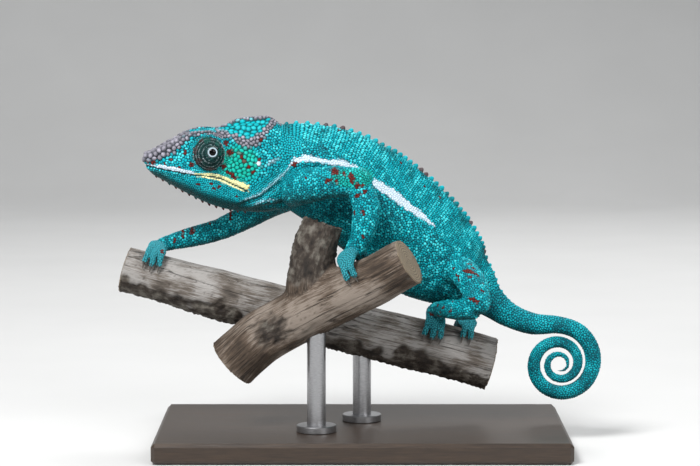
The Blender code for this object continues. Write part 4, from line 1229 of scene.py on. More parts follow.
class Markings:
    """The coat's colours as masks from 0 to 1, with painted shade and a painted highlight among them,
    worked out for any places of the skin.
    """

    STORED = {
        # white also carries a painted highlight along the crests of the neck folds.
        "marks_a": ("white", "yellow", "red"),
        "marks_b": ("ridge", "turret", "plate"),
        # deep carries painted shade under the body and jaw and in the mouth's seam, with the back's own
        # dark blotches.
        "marks_c": ("deep", "green", "pale"),
    }

    @classmethod
    def stored(cls, masks: dict[str, np.ndarray]) -> dict[str, np.ndarray]:
        """Give the masks three by three, as the finish reads them."""
        three = {label: [masks[part] for part in parts] for label, parts in cls.STORED.items()}
        return {label: np.column_stack(parts) for label, parts in three.items()}

    def paint(self, places: Places) -> dict[str, np.ndarray]:
        """Work the masks out.

        Args:
            places: The places.

        Returns:
            Each mask by its name.
        """
        flat, side_on = places.points[:, (0, 2)], places.head[:, (0, 2)]
        wander = 0.35 * ripple(places.points, 3.0, 4)
        head, trunk = places.on("head"), places.on("trunk")
        turret = places.on("turret_left", "turret_right")
        ahead, _, up = places.head.T
        gap, behind = rim_gap(places.head)
        masks = self.lips(places, wander) | {"red": self.reds(places), "turret": turret.astype(float)}
        for lines, area, strength, wide, edges in (
            (STRIPES, trunk, 1.0, 1.0, (-0.25, 0.25)),
            # Painted highlight along the crests of the neck folds.
            (PALE_FOLD_HIGHLIGHTS, trunk | head, 0.42, 0.8, (-0.4, 0.6)),
        ):
            for line in lines:
                off, half = beside_line(flat, line)
                mask = area * strength * soft(wide * half[:, 0] - np.abs(off) + wander, *edges)
                masks["white"] = np.maximum(masks["white"], mask)
        masks["ridge"] = head * soft(-gap - wander, -0.35, 0.3)
        masks["plate"] = head * soft(-ahead, 5.5, 7.0) * (behind < 0) * (1 - masks["ridge"])
        cheek = np.hypot((ahead + 13.0) / 9.5, (up + 3.6) / 8.5)
        green = np.maximum(head * soft(-cheek, -1.2, -0.6), 0.6 * spotted(flat, [ELBOW_GREEN]))
        shifted = side_on + 0.4 * np.column_stack([ripple(places.points, 2.0, seed) for seed in (14, 15)])
        masks["green"] = np.where(turret, spotted(shifted, TURRET_GREENS), green)
        # Painted shade: the skin darkens where it faces down, and on the head below the JAW_SHADE line;
        # partly a deeper green underside.
        under = soft(-places.normals[:, 2], 0.25, 0.85)
        shade = np.maximum(under, head * soft(wander - beside_line(side_on, JAW_SHADE)[0], -0.4, 0.8))
        under = np.where(head, shade, 0.8 * under)
        near_top = soft(-places.off_top(), -1.05, -0.3)
        blotches = soft(ripple(places.points * (1, 1, 0.5), 7.5, 8), 0.05, 0.6) * trunk * near_top
        # Painted shade in the mouth's seam: a dark line along the lip line, which also clears the white and
        # yellow there.
        lip = np.abs(beside_line(side_on, LIP_LINE)[0])
        line = head * soft(-lip, -0.42, -0.28) * (ahead > -16.4) * (ahead < 27)
        # The deep mask: that painted shade and the painted shade of the mouth's seam, with the back's own
        # dark blotches.
        masks["deep"] = np.clip(np.maximum(under + 0.5 * blotches, line) * ~turret, 0, 1)
        pale = places.on("_foot") * 0.9 + 0.35 * under * places.on("_upper", "_lower")
        masks["pale"] = np.where(turret, spotted(shifted, TURRET_REDS), np.clip(pale, 0, 1))
        for name in ("white", "yellow"):
            masks[name] = masks[name] * (1 - line)
        lid = 0.45 * turret * soft(-from_sight(places.points), -2.5, -2.3)
        masks["white"] = np.maximum(masks["white"], lid)
        return masks

    def lips(self, places: Places, wander: np.ndarray) -> dict[str, np.ndarray]:
        """Work out the yellow and white of the lips.

        Args:
            places: The places.
            wander: How far colours stray over their edges at each.

        Returns:
            The two masks.
        """
        side_on, head = places.head[:, (0, 2)], places.on("head")
        gap = beside_line(side_on, LIP_LINE)[0]
        table = np.array(LIP_COLOURS)
        above, below, white = (np.interp(side_on[:, 0], table[:, 0], table[:, k]) for k in (1, 2, 3))
        inside = (side_on[:, 0] > -16.9) & head
        yellow = inside * soft(np.where(gap > 0, above - gap, below + gap) + 0.4 * wander, -0.2, 0.15)
        yellow = yellow * (np.where(gap > 0, above, below) > 0.15)
        pale = inside * soft(white - gap + 0.6 * wander, -0.3, 0.2) * (gap > -0.2) * (white > 0.15)
        return {"yellow": yellow, "white": np.maximum(pale, head * spotted(side_on, [PALE_EAR_SPOT]))}

    def reds(self, places: Places) -> np.ndarray:
        """Work out the red spots. The far side of the head and the hind legs have theirs by rule.

        Args:
            places: The places.

        Returns:
            The mask.
        """
        side_on = places.head[:, (0, 2)]
        near, head = places.normals[:, 1] < 0.35, places.on("head")
        wobble = 0.25 * np.column_stack([ripple(places.points, 2.2, seed) for seed in (11, 12)])
        larger = [(x, z, 1.2 * wide, 1.2 * tall, tilt) for x, z, wide, tall, tilt in HEAD_SPOTS]
        red = near * head * spotted(side_on + wobble, larger)
        mirrored = (side_on + (1.3, 0.6)) * (0.94, 1.05) + wobble
        red = np.maximum(red, ~near * head * spotted(mirrored, HEAD_SPOTS))
        far_arm = ("fore_right_lower", "fore_right_upper", "fore_right_foot")
        for endings, spots in (
            (("trunk",), BODY_SPOTS),
            (("fore_left_upper", "fore_left_lower"), ARM_SPOTS),
            (far_arm, FAR_ARM_SPOTS),
        ):
            red = np.maximum(red, places.on(*endings) * spotted(places.points[:, (0, 2)] + wobble, spots))
        hind = places.on(*legs_named("hind"))
        return np.maximum(red, hind * soft(ripple(places.points, 5.0, 21), 0.82, 0.9))


# ---- Skin --------------------------------------------------------


@dataclass
class Skin:
    """The one skin over all the flesh, with its folds, lips and crests."""

    depth: float = 0.36
    face_size: float = 0.65
    crease_turns: int = 26
    groove: float = 0.6
    rib_pitch: float = 1 / 2.3
    flesh: Flesh = field(init=False)
    surface: Surface = field(init=False)
    places: Places = field(init=False)

    def build(self) -> None:
        """Fuse the flesh, fill its creases and carve its folds."""
        self.flesh = Flesh(self.depth)
        self.surface = Surface.fused([loft.rings for loft in self.flesh.lofts], self.face_size)
        self.surface.smooth(2)
        before = self.surface.points.copy()
        self.surface.fill_creases(self.crease_turns)
        kept = Places.found(self.flesh, before, before).on("_foot", "tail", "turret_left", "turret_right")
        share = kept.astype(float)
        for _ in range(6):
            share = np.maximum(share * 0.9, self.surface.averaged(share))
        self.surface.points += np.clip(share, 0, 1)[:, None] * (before - self.surface.points)
        self.surface.smooth(3)
        self.soften_nape()
        self.places = Places.found(self.flesh, self.surface.points, self.surface.normals())
        self.surface.points += self.carve(self.places)[:, None] * self.places.normals
        self.open_eyes()
        self.places.points, self.places.normals = self.surface.points, self.surface.normals()

    def open_eyes(self) -> None:
        """Press the skin round each eye down to just below the rim of its opening."""
        for side in (1, -1):
            out, along = off_sight(self.surface.points, side)
            most = np.interp(out, [0.0, 1.9, 2.2, 2.8, 3.6, 4.5], [1.9, 2.1, 2.12, 1.85, 1.6, 9.0])
            self.surface.points -= (np.maximum(along - most, 0) * (out < 4.5))[:, None] * sight_of(side)

    def soften_nape(self) -> None:
        """Round the casque's side off behind its rim, where it runs into the neck."""
        surface = self.surface
        head = off_head(surface.points)
        behind = beside_line(head[:, (0, 2)], CASQUE_RIM)[0]
        share = soft(behind, 1.6, 3.4) * soft(-head[:, 0], 17.0, 21.0)
        share = share * soft(-np.abs(head[:, 1]), -14.0, -12.0) * soft(head[:, 2], 0.0, 4.0)
        for _ in range(14):
            surface.points += 0.5 * share[:, None] * (surface.averaged(surface.points) - surface.points)

    def carve(self, places: Places) -> np.ndarray:
        """Work out the skin's relief.

        Args:
            places: The skin's points.

        Returns:
            How far each point moves outwards.
        """
        head, trunk = places.on("head"), places.on("trunk")
        ahead, left, up = places.head.T
        lip = beside_line(places.head[:, (0, 2)], LIP_LINE)[0]
        open_lips = head * soft(ahead, -17.5, -15.0)
        move = -self.groove * open_lips * np.exp(-((lip / 0.38) ** 2))
        move += 0.22 * open_lips * np.exp(-(((np.abs(lip) - 1.1) / 0.7) ** 2))
        rim, behind = rim_gap(places.head)
        crown = head * soft(up - np.interp(ahead, [-30, -7, 0, 14, 27], [10, 5, 7, 3, -3]), -1.0, 1.0)
        beside = head * np.exp(-(((rim - 1.6) / 1.2) ** 2))
        move -= 0.6 * crown * beside + 0.45 * (head - crown) * beside
        move -= 0.45 * head * soft(-ahead, 5.5, 7.5) * (behind < 0) * soft(rim, 0.0, 0.9)
        steps = np.sort(turret_bands()[0])
        seam = np.abs(places.step[:, None] - (steps[1:] + steps[:-1]) / 2).min(axis=1)
        move -= 0.22 * places.on("turret_left", "turret_right") * np.exp(-((seam / 0.09) ** 2))
        for side in (1, -1):
            out = off_sight(places.points, side)[0]
            move -= 0.45 * (side * left > 3.0) * soft(-np.abs(out - 8.4), -1.2, -0.2) * head
            nostril = np.hypot(ahead - 22.6, up + 1.6) + 4.0 * (side * left < 1)
            move -= 0.7 * head * np.exp(-((nostril / 0.65) ** 2))
        for line in NECK_FOLDS:
            gap, half = beside_line(places.points[:, (0, 2)], line)
            fold = -0.95 * np.exp(-((gap / 0.8) ** 2))
            fold += 0.35 * np.exp(-(((np.abs(gap) - 1.9) / 0.9) ** 2))
            move += (head | trunk) * half[:, 0] * fold
        flank = trunk * np.sin(np.clip(places.turn % math.pi, 0, math.pi)) ** 2
        ribs = 2 * math.pi * places.step / self.rib_pitch + 0.6 * ripple(places.points, 14, 3)
        move -= 0.16 * flank * (1 + np.sin(ribs))
        wrinkle = places.on("_upper", "_lower") * ripple(places.points * (1, 1, 1.6), 4.5, 6)
        return move - 0.12 * np.abs(wrinkle)

    def finish(self, name: str, material: bpy.types.Material) -> bpy.types.Object:
        """Make the skin's object, with the masks that its finish reads.

        Args:
            name: The object's name.
            material: Its finish.

        Returns:
            The skin.
        """
        piece = new_piece(name, self.surface.points, self.surface.quads.tolist())
        for label, values in Markings.stored(Markings().paint(self.places)).items():
            give(piece.data, label, values)
        turret = self.places.on("turret_left", "turret_right")
        give(piece.data, "tone", np.where(turret, 0.6 * Coat.ring_tones(self.places.step), 0.3))
        # A rim of 1 gives the skin between the scales the full painted shade of the gaps.
        give(piece.data, "rim", np.full(len(self.surface.points), 1.0))
        piece.data.materials.append(material)
        return piece


# ---- Finishes ----------------------------------------------------


class Wiring:
    """Adds nodes to a tree and joins them."""

    def __init__(self, tree: bpy.types.NodeTree) -> None:
        """Work on that tree."""
        self.tree = tree

    def feed(self, node: bpy.types.Node, feeds: dict) -> None:
        """Fill a node's inputs.

        Args:
            node: The node.
            feeds: A value or another node's socket for each named or numbered input.
        """
        for key, value in feeds.items():
            if isinstance(value, bpy.types.NodeSocket):
                self.tree.links.new(value, node.inputs[key])
            else:
                node.inputs[key].default_value = value

    def add(self, kind: str, feeds: dict | None = None, **settings: object) -> bpy.types.Node:
        """Add a node.

        Args:
            kind: The node's type.
            feeds: A value or another node's socket for each named or numbered input.
            settings: The node's own settings.

        Returns:
            The node.
        """
        node = self.tree.nodes.new(kind)
        for name, value in settings.items():
            setattr(node, name, value)
        self.feed(node, feeds or {})
        return node

    def place(self) -> bpy.types.NodeSocket:
        """Read the place on the object, in metres."""
        return self.add("ShaderNodeTexCoord").outputs["Object"]

    def mix(self, share: object, first: object, second: object) -> bpy.types.NodeSocket:
        """Blend two colours by a share from 0 to 1."""
        return self.add("ShaderNodeMix", {0: share, 6: first, 7: second}, data_type="RGBA").outputs[2]

    def sum(self, operation: str, *values: object) -> bpy.types.NodeSocket:
        """Do a sum with up to three values."""
        return self.add("ShaderNodeMath", dict(enumerate(values)), operation=operation).outputs[0]

    def vector(self, operation: str, feeds: dict) -> bpy.types.Node:
        """Do a sum with vectors."""
        return self.add("ShaderNodeVectorMath", feeds, operation=operation)

    def attribute(self, name: str) -> bpy.types.Node:
        """Read a stored number or three."""
        return self.add("ShaderNodeAttribute", attribute_name=name)

    def parts(self, name: str) -> tuple[bpy.types.NodeSocket, ...]:
        """Read a stored three, one by one."""
        feeds = {0: self.attribute(name).outputs["Vector"]}
        return tuple(self.add("ShaderNodeSeparateXYZ", feeds).outputs)

    def ramp(self, value: object, *stops: tuple[float, tuple]) -> bpy.types.NodeSocket:
        """Turn a value into a colour.

        Args:
            value: The value.
            stops: Each stop's value and colour.

        Returns:
            The colour's socket.
        """
        node = self.add("ShaderNodeValToRGB", {0: value})
        elements = node.color_ramp.elements
        while len(elements) < len(stops):
            elements.new(0.5)
        for element, (place, colour) in zip(elements, stops):
            element.position, element.color = place, (*colour, 1.0)
        return node.outputs[0]

    def noise(
        self, place: object, size: float, detail: float = 3.0, **extra: float
    ) -> bpy.types.NodeSocket:
        """Give smooth noise whose swells are about size millimetres apart on metre coordinates."""
        feeds = {"Vector": place, "Scale": 1 / (size * MM), "Detail": detail, **extra}
        return self.add("ShaderNodeTexNoise", feeds).outputs[0]

    def stretched(self, place: object, along: float) -> bpy.types.NodeSocket:
        """Scale a place along Z."""
        return self.add("ShaderNodeMapping", {0: place, 3: (1.0, 1.0, along)}).outputs[0]

    def span(self, value: object, low: float, high: float) -> bpy.types.NodeSocket:
        """Turn values from 0 to 1 into values from low to high."""
        return self.add("ShaderNodeMapRange", {0: value, 3: low, 4: high}).outputs[0]

    def bump(self, height: object, strength: float, depth: float) -> bpy.types.NodeSocket:
        """Turn a height into bumps that many metres deep."""
        feeds = {"Height": height, "Strength": strength, "Distance": depth}
        return self.add("ShaderNodeBump", feeds).outputs[0]


def new_finish(name: str) -> tuple[bpy.types.Material, Wiring, bpy.types.Node]:
    """Start a material.

    Args:
        name: Its name.

    Returns:
        The material, its wiring and its shader.
    """
    material = bpy.data.materials.new(name)
    material.use_nodes = True
    return material, Wiring(material.node_tree), material.node_tree.nodes["Principled BSDF"]


def new_group(kind: str, name: str, takes: dict[str, tuple], gives: dict[str, str]) -> tuple:
    """Start a node group.

    Args:
        kind: The kind of tree.
        name: The group's name.
        takes: Each input's type and first value.
        gives: Each output's type.

    Returns:
        The wiring, the sockets of the inputs, and the node that the outputs are fed to.
    """
    tree = bpy.data.node_groups.new(name, kind)
    for label, (socket, value) in takes.items():
        made = tree.interface.new_socket(label, in_out="INPUT", socket_type="NodeSocket" + socket)
        if value is not None:
            made.default_value = value
    for label, socket in gives.items():
        tree.interface.new_socket(label, in_out="OUTPUT", socket_type="NodeSocket" + socket)
    w = Wiring(tree)
    return w, w.add("NodeGroupInput").outputs, w.add("NodeGroupOutput")


def shaded(colour: tuple, share: float) -> tuple:
    """Give a colour times a share."""
    return tuple(share * part for part in colour)


@dataclass(frozen=True)
class Palette:
    """The coat's colours, with those of its painted shade."""

    bright: tuple = (0.0, 0.38, 0.45)
    deep: tuple = (0.0, 0.075, 0.105)
    dot: tuple = (0.06, 0.66, 0.72)
    # Painted shade under the body and jaw and in the mouth's seam, and the back's dark blotches, blend
    # towards this colour.
    under: tuple = (0.0, 0.024, 0.020)
    green: tuple = (0.004, 0.44, 0.29)
    pale: tuple = (0.045, 0.33, 0.39)
    plate: tuple = (0.0, 0.42, 0.46)
    ridge: tuple = (0.235, 0.225, 0.265)
    lines: tuple = (0.30, 0.36, 0.38)
    turret: tuple = (0.010, 0.060, 0.052)
    white: tuple = (0.60, 0.72, 0.82)
    yellow: tuple = (0.78, 0.72, 0.26)
    cream: tuple = (0.86, 0.84, 0.52)
    red: tuple = (0.13, 0.010, 0.004)
    turret_deep: tuple = (0.001, 0.006, 0.006)
    turret_green: tuple = (0.008, 0.12, 0.09)
    turret_red: tuple = (0.10, 0.035, 0.032)
    # Painted shade: the scales' rims and the skin between them darken towards this colour.
    gap: tuple = (0.0, 0.010, 0.014)

    def group(self) -> bpy.types.NodeTree:
        """Build the node group that turns the stored masks into the coat's colour.

        Returns:
            The group.
        """
        found = bpy.data.node_groups.get("coat_colour")
        if found:
            return found
        takes = {"Shade": ("Float", 1.0), "Spread": ("Float", 1.0)}
        w, given, out = new_group("ShaderNodeTree", "coat_colour", takes, {"Colour": "Color"})
        full = {label: (*value, 1.0) for label, value in self.__dict__.items()}
        white, yellow, red = w.parts("marks_a")
        ridge, turret, plate = w.parts("marks_b")
        deep, green, pale = w.parts("marks_c")
        place = w.place()
        drift = w.sum("SUBTRACT", w.noise(place, 7.0, 2.0), 0.5)
        tone = w.sum("MULTIPLY_ADD", drift, given["Spread"], w.attribute("tone").outputs["Fac"])
        colour = w.ramp(tone, (0.0, self.deep), (0.52, self.bright), (1.0, self.dot))
        rings = w.ramp(tone, (0.0, self.turret_deep), (0.45, self.turret), (1.0, self.lines))
        # The deep mask blends in the under colour: painted shade, with the back's dark blotches.
        for mask, share, label in (
            (green, 0.75, "green"), (pale, 0.85, "pale"), (deep, 0.9, "under"), (plate, 0.7, "plate"),
        ):
            colour = w.mix(w.sum("MULTIPLY", mask, share), colour, full[label])
        for mask, share, label in ((green, 0.6, "turret_green"), (pale, 0.55, "turret_red")):
            rings = w.mix(w.sum("MULTIPLY", mask, share), rings, full[label])
        lumpy = w.mix(tone, (*shaded(self.ridge, 0.5), 1.0), (*shaded(self.ridge, 1.5), 1.0))
        cream = w.mix(w.noise(place, 2.4, 3.0), full["cream"], full["yellow"])
        for mask, over in (
            (turret, rings), (ridge, lumpy), (white, full["white"]), (yellow, cream), (red, full["red"]),
        ):
            colour = w.mix(mask, colour, over)
        # Painted shade in the gaps: each scale darkens towards the gap colour near its rim, the skin
        # between the scales most, and white and yellow less.
        rim = w.sum("POWER", w.attribute("rim").outputs["Fac"], 3.0)
        plain = w.sum("MULTIPLY_ADD", white, 0.6, w.sum("MULTIPLY", yellow, 0.75))
        dark = w.sum("MULTIPLY", w.sum("MULTIPLY", given["Shade"], rim), w.sum("SUBTRACT", 1.0, plain))
        w.feed(out, {"Colour": w.mix(dark, colour, w.mix(0.84, colour, full["gap"]))})
        return w.tree


@dataclass(frozen=True)
class CoatFinish:
    """A finish for the skin or for its scales, with the coat's markings and the painted shade of the gaps
    between scales.
    """

    name: str
    shade: float
    spread: float
    roughness: float
    grain: float

    def make(self) -> bpy.types.Material:
        """Build the material.

        Returns:
            The material.
        """
        material, w, shader = new_finish(self.name)
        feeds = {"Shade": self.shade, "Spread": self.spread}
        colour = w.add("ShaderNodeGroup", feeds, node_tree=Palette().group())
        fine = w.noise(w.place(), 0.35, 2.0)
        rough = w.span(fine, self.roughness - 0.06, self.roughness + 0.08)
        look = {"Base Color": colour.outputs[0], "Roughness": rough, "Specular IOR Level": 0.13}
        w.feed(shader, look | {"Normal": w.bump(fine, self.grain, 0.0001)})
        return material


# ---- Scales ------------------------------------------------------


class Dome(Enum):
    """Shapes of scale, as rings of a radius and a height, from the root to the top."""

    FULL = ((1.0, -0.6), (0.93, 0.3), (0.62, 0.86))
    PLAIN = ((1.0, -0.5), (0.72, 0.72))
    SPIKE = ((1.0, -0.3), (0.95, 0.22), (0.74, 0.62), (0.42, 0.90))

    def mesh(self, sides: int) -> bpy.types.Object:
        """Make the shape once, one unit across its root and one high, for the trees to repeat.

        Args:
            sides: Points in each ring.

        Returns:
            The shape.
        """
        turns = np.linspace(0, 2 * math.pi, sides, endpoint=False)
        rings = [(r * math.cos(turn), r * math.sin(turn), z) for r, z in self.value for turn in turns]
        points, top, faces = np.array([*rings, (0.0, 0.0, 1.0)]), len(rings), []
        for j in range(sides):
            k = (j + 1) % sides
            for low in range(0, top - sides, sides):
                faces.append((low + j, low + k, low + sides + k, low + sides + j))
            faces.append((top - sides + j, top - sides + k, top))
        mesh = bpy.data.meshes.new("shape_" + self.name.lower())
        mesh.from_pydata(points.tolist(), [], faces)
        # The finish reads the rim to paint shade at each scale's edge.
        give(mesh, "rim", np.append(np.repeat([radius for radius, _ in self.value], sides), 0.0))
        give(mesh, "spot", points * (1, 1, 0))
        return linked(mesh.name, mesh)


class ScaleTree:
    """A Geometry Nodes tree that sets one solid scale on each root."""

    PATCH = 0.003

    def __init__(self) -> None:
        """Build the tree."""
        takes = {
            "Roots": ("Geometry", None),
            "Shape": ("Object", None),
            "Size": ("Float", 1.0),
            "Patch": ("Float", self.PATCH),
            "Finish": ("Material", None),
        }
        w, given, out = new_group("GeometryNodeTree", "scales_on_roots", takes, {"Scales": "Geometry"})
        spread, lean, spot, flat = (
            w.add("GeometryNodeInputNamedAttribute", {"Name": name}, data_type="FLOAT_VECTOR").outputs[0]
            for name in Roots.FOR_TREE
        )
        shape = w.add("GeometryNodeObjectInfo", {"Object": given["Shape"]}).outputs["Geometry"]
        size = w.vector("SCALE", {0: spread, 3: given["Size"]}).outputs[0]
        patch = w.vector("SCALE", {0: spot, 3: w.sum("DIVIDE", given["Patch"], 2.0)}).outputs[0]
        patch = w.vector("ADD", {0: patch, 1: flat}).outputs[0]
        feeds = {"Points": given["Roots"], "Instance": shape, "Rotation": lean, "Scale": size}
        scales = w.add("GeometryNodeInstanceOnPoints", feeds).outputs[0]
        scales = w.add("GeometryNodeRealizeInstances", {0: scales}).outputs[0]
        scales = w.add("GeometryNodeSetShadeSmooth", {"Geometry": scales}).outputs[0]
        feeds = {"Geometry": scales, "Name": BAKE_MAP, "Value": patch}
        settings = {"data_type": "FLOAT2", "domain": "CORNER"}
        scales = w.add("GeometryNodeStoreNamedAttribute", feeds, **settings).outputs[0]
        for name in Roots.FOR_TREE:
            scales = w.add("GeometryNodeRemoveAttribute", {"Geometry": scales, "Name": name}).outputs[0]
        feeds = {"Geometry": scales, "Material": given["Finish"]}
        w.feed(out, {"Scales": w.add("GeometryNodeSetMaterial", feeds).outputs[0]})
        self.tree = w.tree

    def grow(
        self, name: str, roots: "Roots", shape: bpy.types.Object, finish: bpy.types.Material
    ) -> bpy.types.Object:
        """Turn roots into a plain mesh of scales.

        Args:
            name: The new piece's name.
            roots: Where the scales stand, and how.
            shape: The shape of one scale.
            finish: Their material.

        Returns:
            The piece.
        """
        seed = new_piece(name + "_roots", roots.points, [], smooth=False)
        for label, values in roots.stored().items():
            give(seed.data, label, values)
        modifier = seed.modifiers.new("scales", "NODES")
        modifier.node_group = self.tree
        values = {"Shape": shape, "Size": 1.0, "Patch": self.PATCH, "Finish": finish}
        for item in self.tree.interface.items_tree:
            if item.in_out == "INPUT" and item.name in values:
                modifier[item.identifier] = values[item.name]
        graph = bpy.context.evaluated_depsgraph_get()
        mesh = bpy.data.meshes.new_from_object(seed.evaluated_get(graph), depsgraph=graph)
        mesh.name = name
        bpy.data.objects.remove(seed)
        points = np.empty(len(mesh.vertices) * 3)
        mesh.vertices.foreach_get("co", points)
        mesh.vertices.foreach_set("co", np.clip(points.reshape(-1, 3), *cad_box).ravel())
        mesh.update()
        return linked(name, mesh)


@dataclass
class Roots:
    """Where scales stand: their points, the way they face, their half widths, height and marks."""

    FOR_TREE = ("spread", "lean", "spot", "flat")

    points: np.ndarray
    facing: np.ndarray
    along: np.ndarray
    spread: np.ndarray
    flat: np.ndarray
    tone: np.ndarray
    masks: dict[str, np.ndarray]

    def picked(self, chosen: np.ndarray) -> "Roots":
        """Keep only some of the roots.

        Args:
            chosen: Which to keep.

        Returns:
            Those.
        """
        *arrays, masks = self.__dict__.values()
        masks = {name: mask[chosen] for name, mask in masks.items()}
        return Roots(*(array[chosen] for array in arrays), masks)

    def lean(self) -> np.ndarray:
        """Give the turns about X, Y and Z that set each scale along the skin.

        Returns:
            Three turns for each.
        """
        up = unit(self.facing)
        first = unit(self.along - up * np.einsum("ij,ij->i", self.along, up)[:, None])
        second = np.cross(up, first)
        turn_x, turn_z = np.arctan2(second[:, 2], up[:, 2]), np.arctan2(first[:, 1], first[:, 0])
        return np.column_stack([turn_x, np.arcsin(np.clip(-first[:, 2], -1, 1)), turn_z])

    def stored(self) -> dict[str, np.ndarray]:
        """Give all that the tree and the finish read, in metres where it is a length.

        Returns:
            The values by the names they are stored under.
        """
        flat = np.column_stack([self.flat, np.zeros(len(self.flat))])
        known = {"spread": self.spread * MM, "lean": self.lean(), "flat": flat, "tone": self.tone}
        return known | Markings.stored(self.masks)


@dataclass
class Coat:
    """The scales over the skin."""

    skin: Skin
    seed: int = 7
    samples_across: int = 2
    height: float = 0.36
    column_pitch: float = 1.02
    bare_round_eye: float = 2.1
    bare_round_rows: float = 0.8
    big_share: float = 1.95
    narrowest: float = 0.22
    widest: float = 1.6
    longest_share: float = 1.8
    pull_in_rows: float = 0.12
    pull_between: float = 0.55

    def build(self) -> Roots:
        """Set scales evenly over the skin, in rows on the eyes, the lips and the back.

        Returns:
            The scales' roots.
        """
        rng = np.random.default_rng(self.seed)
        places = self.skin.places
        spots, corner = self.sample(rng)
        on_turret = places.on("turret_left", "turret_right")[corner]
        skinned = (from_sight(spots) > self.bare_round_eye) | ~on_turret
        spots, corner = spots[skinned], corner[skinned]
        pitch, big = (values[corner] for values in self.pitches(places))
        rows = self.rows()
        taken = kd_tree(rows)
        free = np.array([taken.find(spot)[2] for spot in spots]) > self.bare_round_rows * pitch
        free &= ~self.ruled(places)[corner]
        chosen = self.scatter(spots, pitch * big, free & (big > 1), rng, [])
        chosen = self.scatter(spots, pitch, free, rng, chosen)
        log.info("scale roots: %d in rows, %d between", len(rows), len(chosen))
        return self.fit(np.concatenate([rows, spots[chosen]]), spots, rng, len(rows))

    def sample(self, rng: np.random.Generator) -> tuple[np.ndarray, np.ndarray]:
        """Spread points evenly over the skin's faces.

        Args:
            rng: The source of chance.

        Returns:
            The points, and the number of the nearest corner of each.
        """
        surface = self.skin.surface
        spots, corners = [], []
        for i, j in np.ndindex(self.samples_across, self.samples_across):
            u, v = ((rng.random(len(surface.quads)) + part) / self.samples_across for part in (i, j))
            shares = np.column_stack([(1 - u) * (1 - v), u * (1 - v), u * v, (1 - u) * v])
            spots.append(np.einsum("fk,fkx->fx", shares, surface.points[surface.quads]))
            corners.append(surface.quads[np.arange(len(u)), shares.argmax(axis=1)])
        return np.concatenate(spots), np.concatenate(corners)

    def pitches(self, places: Places) -> tuple[np.ndarray, np.ndarray]:
        """Say how far apart scales stand.

        Args:
            places: The skin's points.

        Returns:
            The distance at each place, and how many times wider apart the big ones stand.
        """
        ahead = places.head[:, 0]
        head, trunk, masks = places.on("head"), places.on("trunk"), Markings().paint(places)
        low_flank = trunk & (np.abs(np.sin(places.turn)) > 0.25) & (places.points[:, 0] > -26)
        pitch = np.full(len(ahead), 0.86)
        for here, distance in (
            (head, 0.98),
            (head & (masks["green"] > 0.4), 1.55),
            (head & (masks["red"] > 0.2), 0.85),
            (masks["plate"] > 0.5, 1.9),
            (masks["ridge"] > 0.4, np.interp(ahead, [-14, 0, 8, 14], [1.12, 1.25, 1.4, 1.75])),
            (places.on("_foot"), 0.72),
            (places.on("tail"), 0.92 - 0.32 * places.share),
            (trunk & (masks["white"] > 0.5), 0.8),
        ):
            pitch = np.where(here, distance, pitch)
        big = (low_flank | places.on("_upper", "_lower")) & (masks["white"] <= 0.5)
        return pitch, np.where(big, self.big_share, 1.0)

    def ruled(self, places: Places) -> np.ndarray:
        """Say where the scales stand in rows, so that none is scattered there."""
        back = places.on("trunk") & (places.off_top() < self.back_reach(places.step))
        return places.on("turret_left", "turret_right") | back

    @staticmethod
    def back_reach(step: np.ndarray) -> np.ndarray:
        """Give how far down each side the back's columns of scales reach, as a turn from the top."""
        return np.interp(step, [0.8, 2.0, 3.5, 5.0, 7.0, 8.0], [0.5, 0.95, 1.15, 1.2, 1.0, 0.8])

    def rows(self) -> np.ndarray:
        """Set the roots that stand in rows: rings on the eyes, columns down the back, and lines.

        Returns:
            The roots.
        """
        tree = self.skin.surface.tree()
        spots = []
        for side in (1, -1):
            form = turret_form(side)
            for number, (step, width) in enumerate(zip(*turret_bands()[:2])):
                ring = form.rings([step], 120)[0]
                around = np.linalg.norm(np.roll(ring, 1, axis=0) - ring, axis=1).sum()
                count = max(9, round(around / (0.8 if width > 0.7 else 0.62)))
                spots += list(form.rings([step], count, twist=1.7 * number)[0])
        spots = [tree.find_nearest(spot)[0] for spot in spots + self.back_columns()]
        lines = [(LIP_LINE, offset, pitch, 0.5, ends, True) for offset, pitch, *ends in LIP_ROWS]
        for row in range(JAW_ROWS):
            offset = -2.2 - row * JAW_PITCH
            lines.append((LIP_LINE, offset, 0.88, 0.5 * (row % 2), (-16.5, 24.5), True))
        for row in range(FOLD_ROWS):
            offset = (row - FOLD_ROWS // 2) * FOLD_PITCH
            lines.append((PALE_FOLD_HIGHLIGHTS[0], offset, 0.84, 0.5 * (row % 2), (-60.0, 0.0), False))
        for line in lines:
            spots += self.beside(tree, *line)
        return np.array([tuple(spot) for spot in spots])

    def back_columns(self) -> list[np.ndarray]:
        """Set slightly wavering columns down each side of the back.

        Returns:
            Spots near the skin.
        """
        steps = BODY.even_steps(0.9, 8.0, round(BODY.length(0.9, 8.0) / self.column_pitch))
        half_turn = np.linspace(0, math.pi, 201)
        spots = []
        for number, step in enumerate(steps):
            run = run_along(BODY.rings([step], 400)[0][:201])
            reach = float(np.interp(self.back_reach(step), half_turn, run))
            turns = np.interp(np.arange(0.55 + 0.4 * (number % 2), reach, 0.92), run, half_turn)
            turns = [side * turn for side in (1, -1) for turn in turns]
            spots += [BODY.rings([step], 1, twist=turn)[0, 0] for turn in turns]
        spots = np.array(spots)
        back_and_forth, up_and_down = 0.42 * ripple(spots, 7.0, 41), 0.25 * ripple(spots, 4.0, 42)
        waver = np.column_stack([back_and_forth, 0 * spots[:, 0], up_and_down])
        return list(spots + waver + np.random.default_rng(43).normal(size=spots.shape) * 0.09)

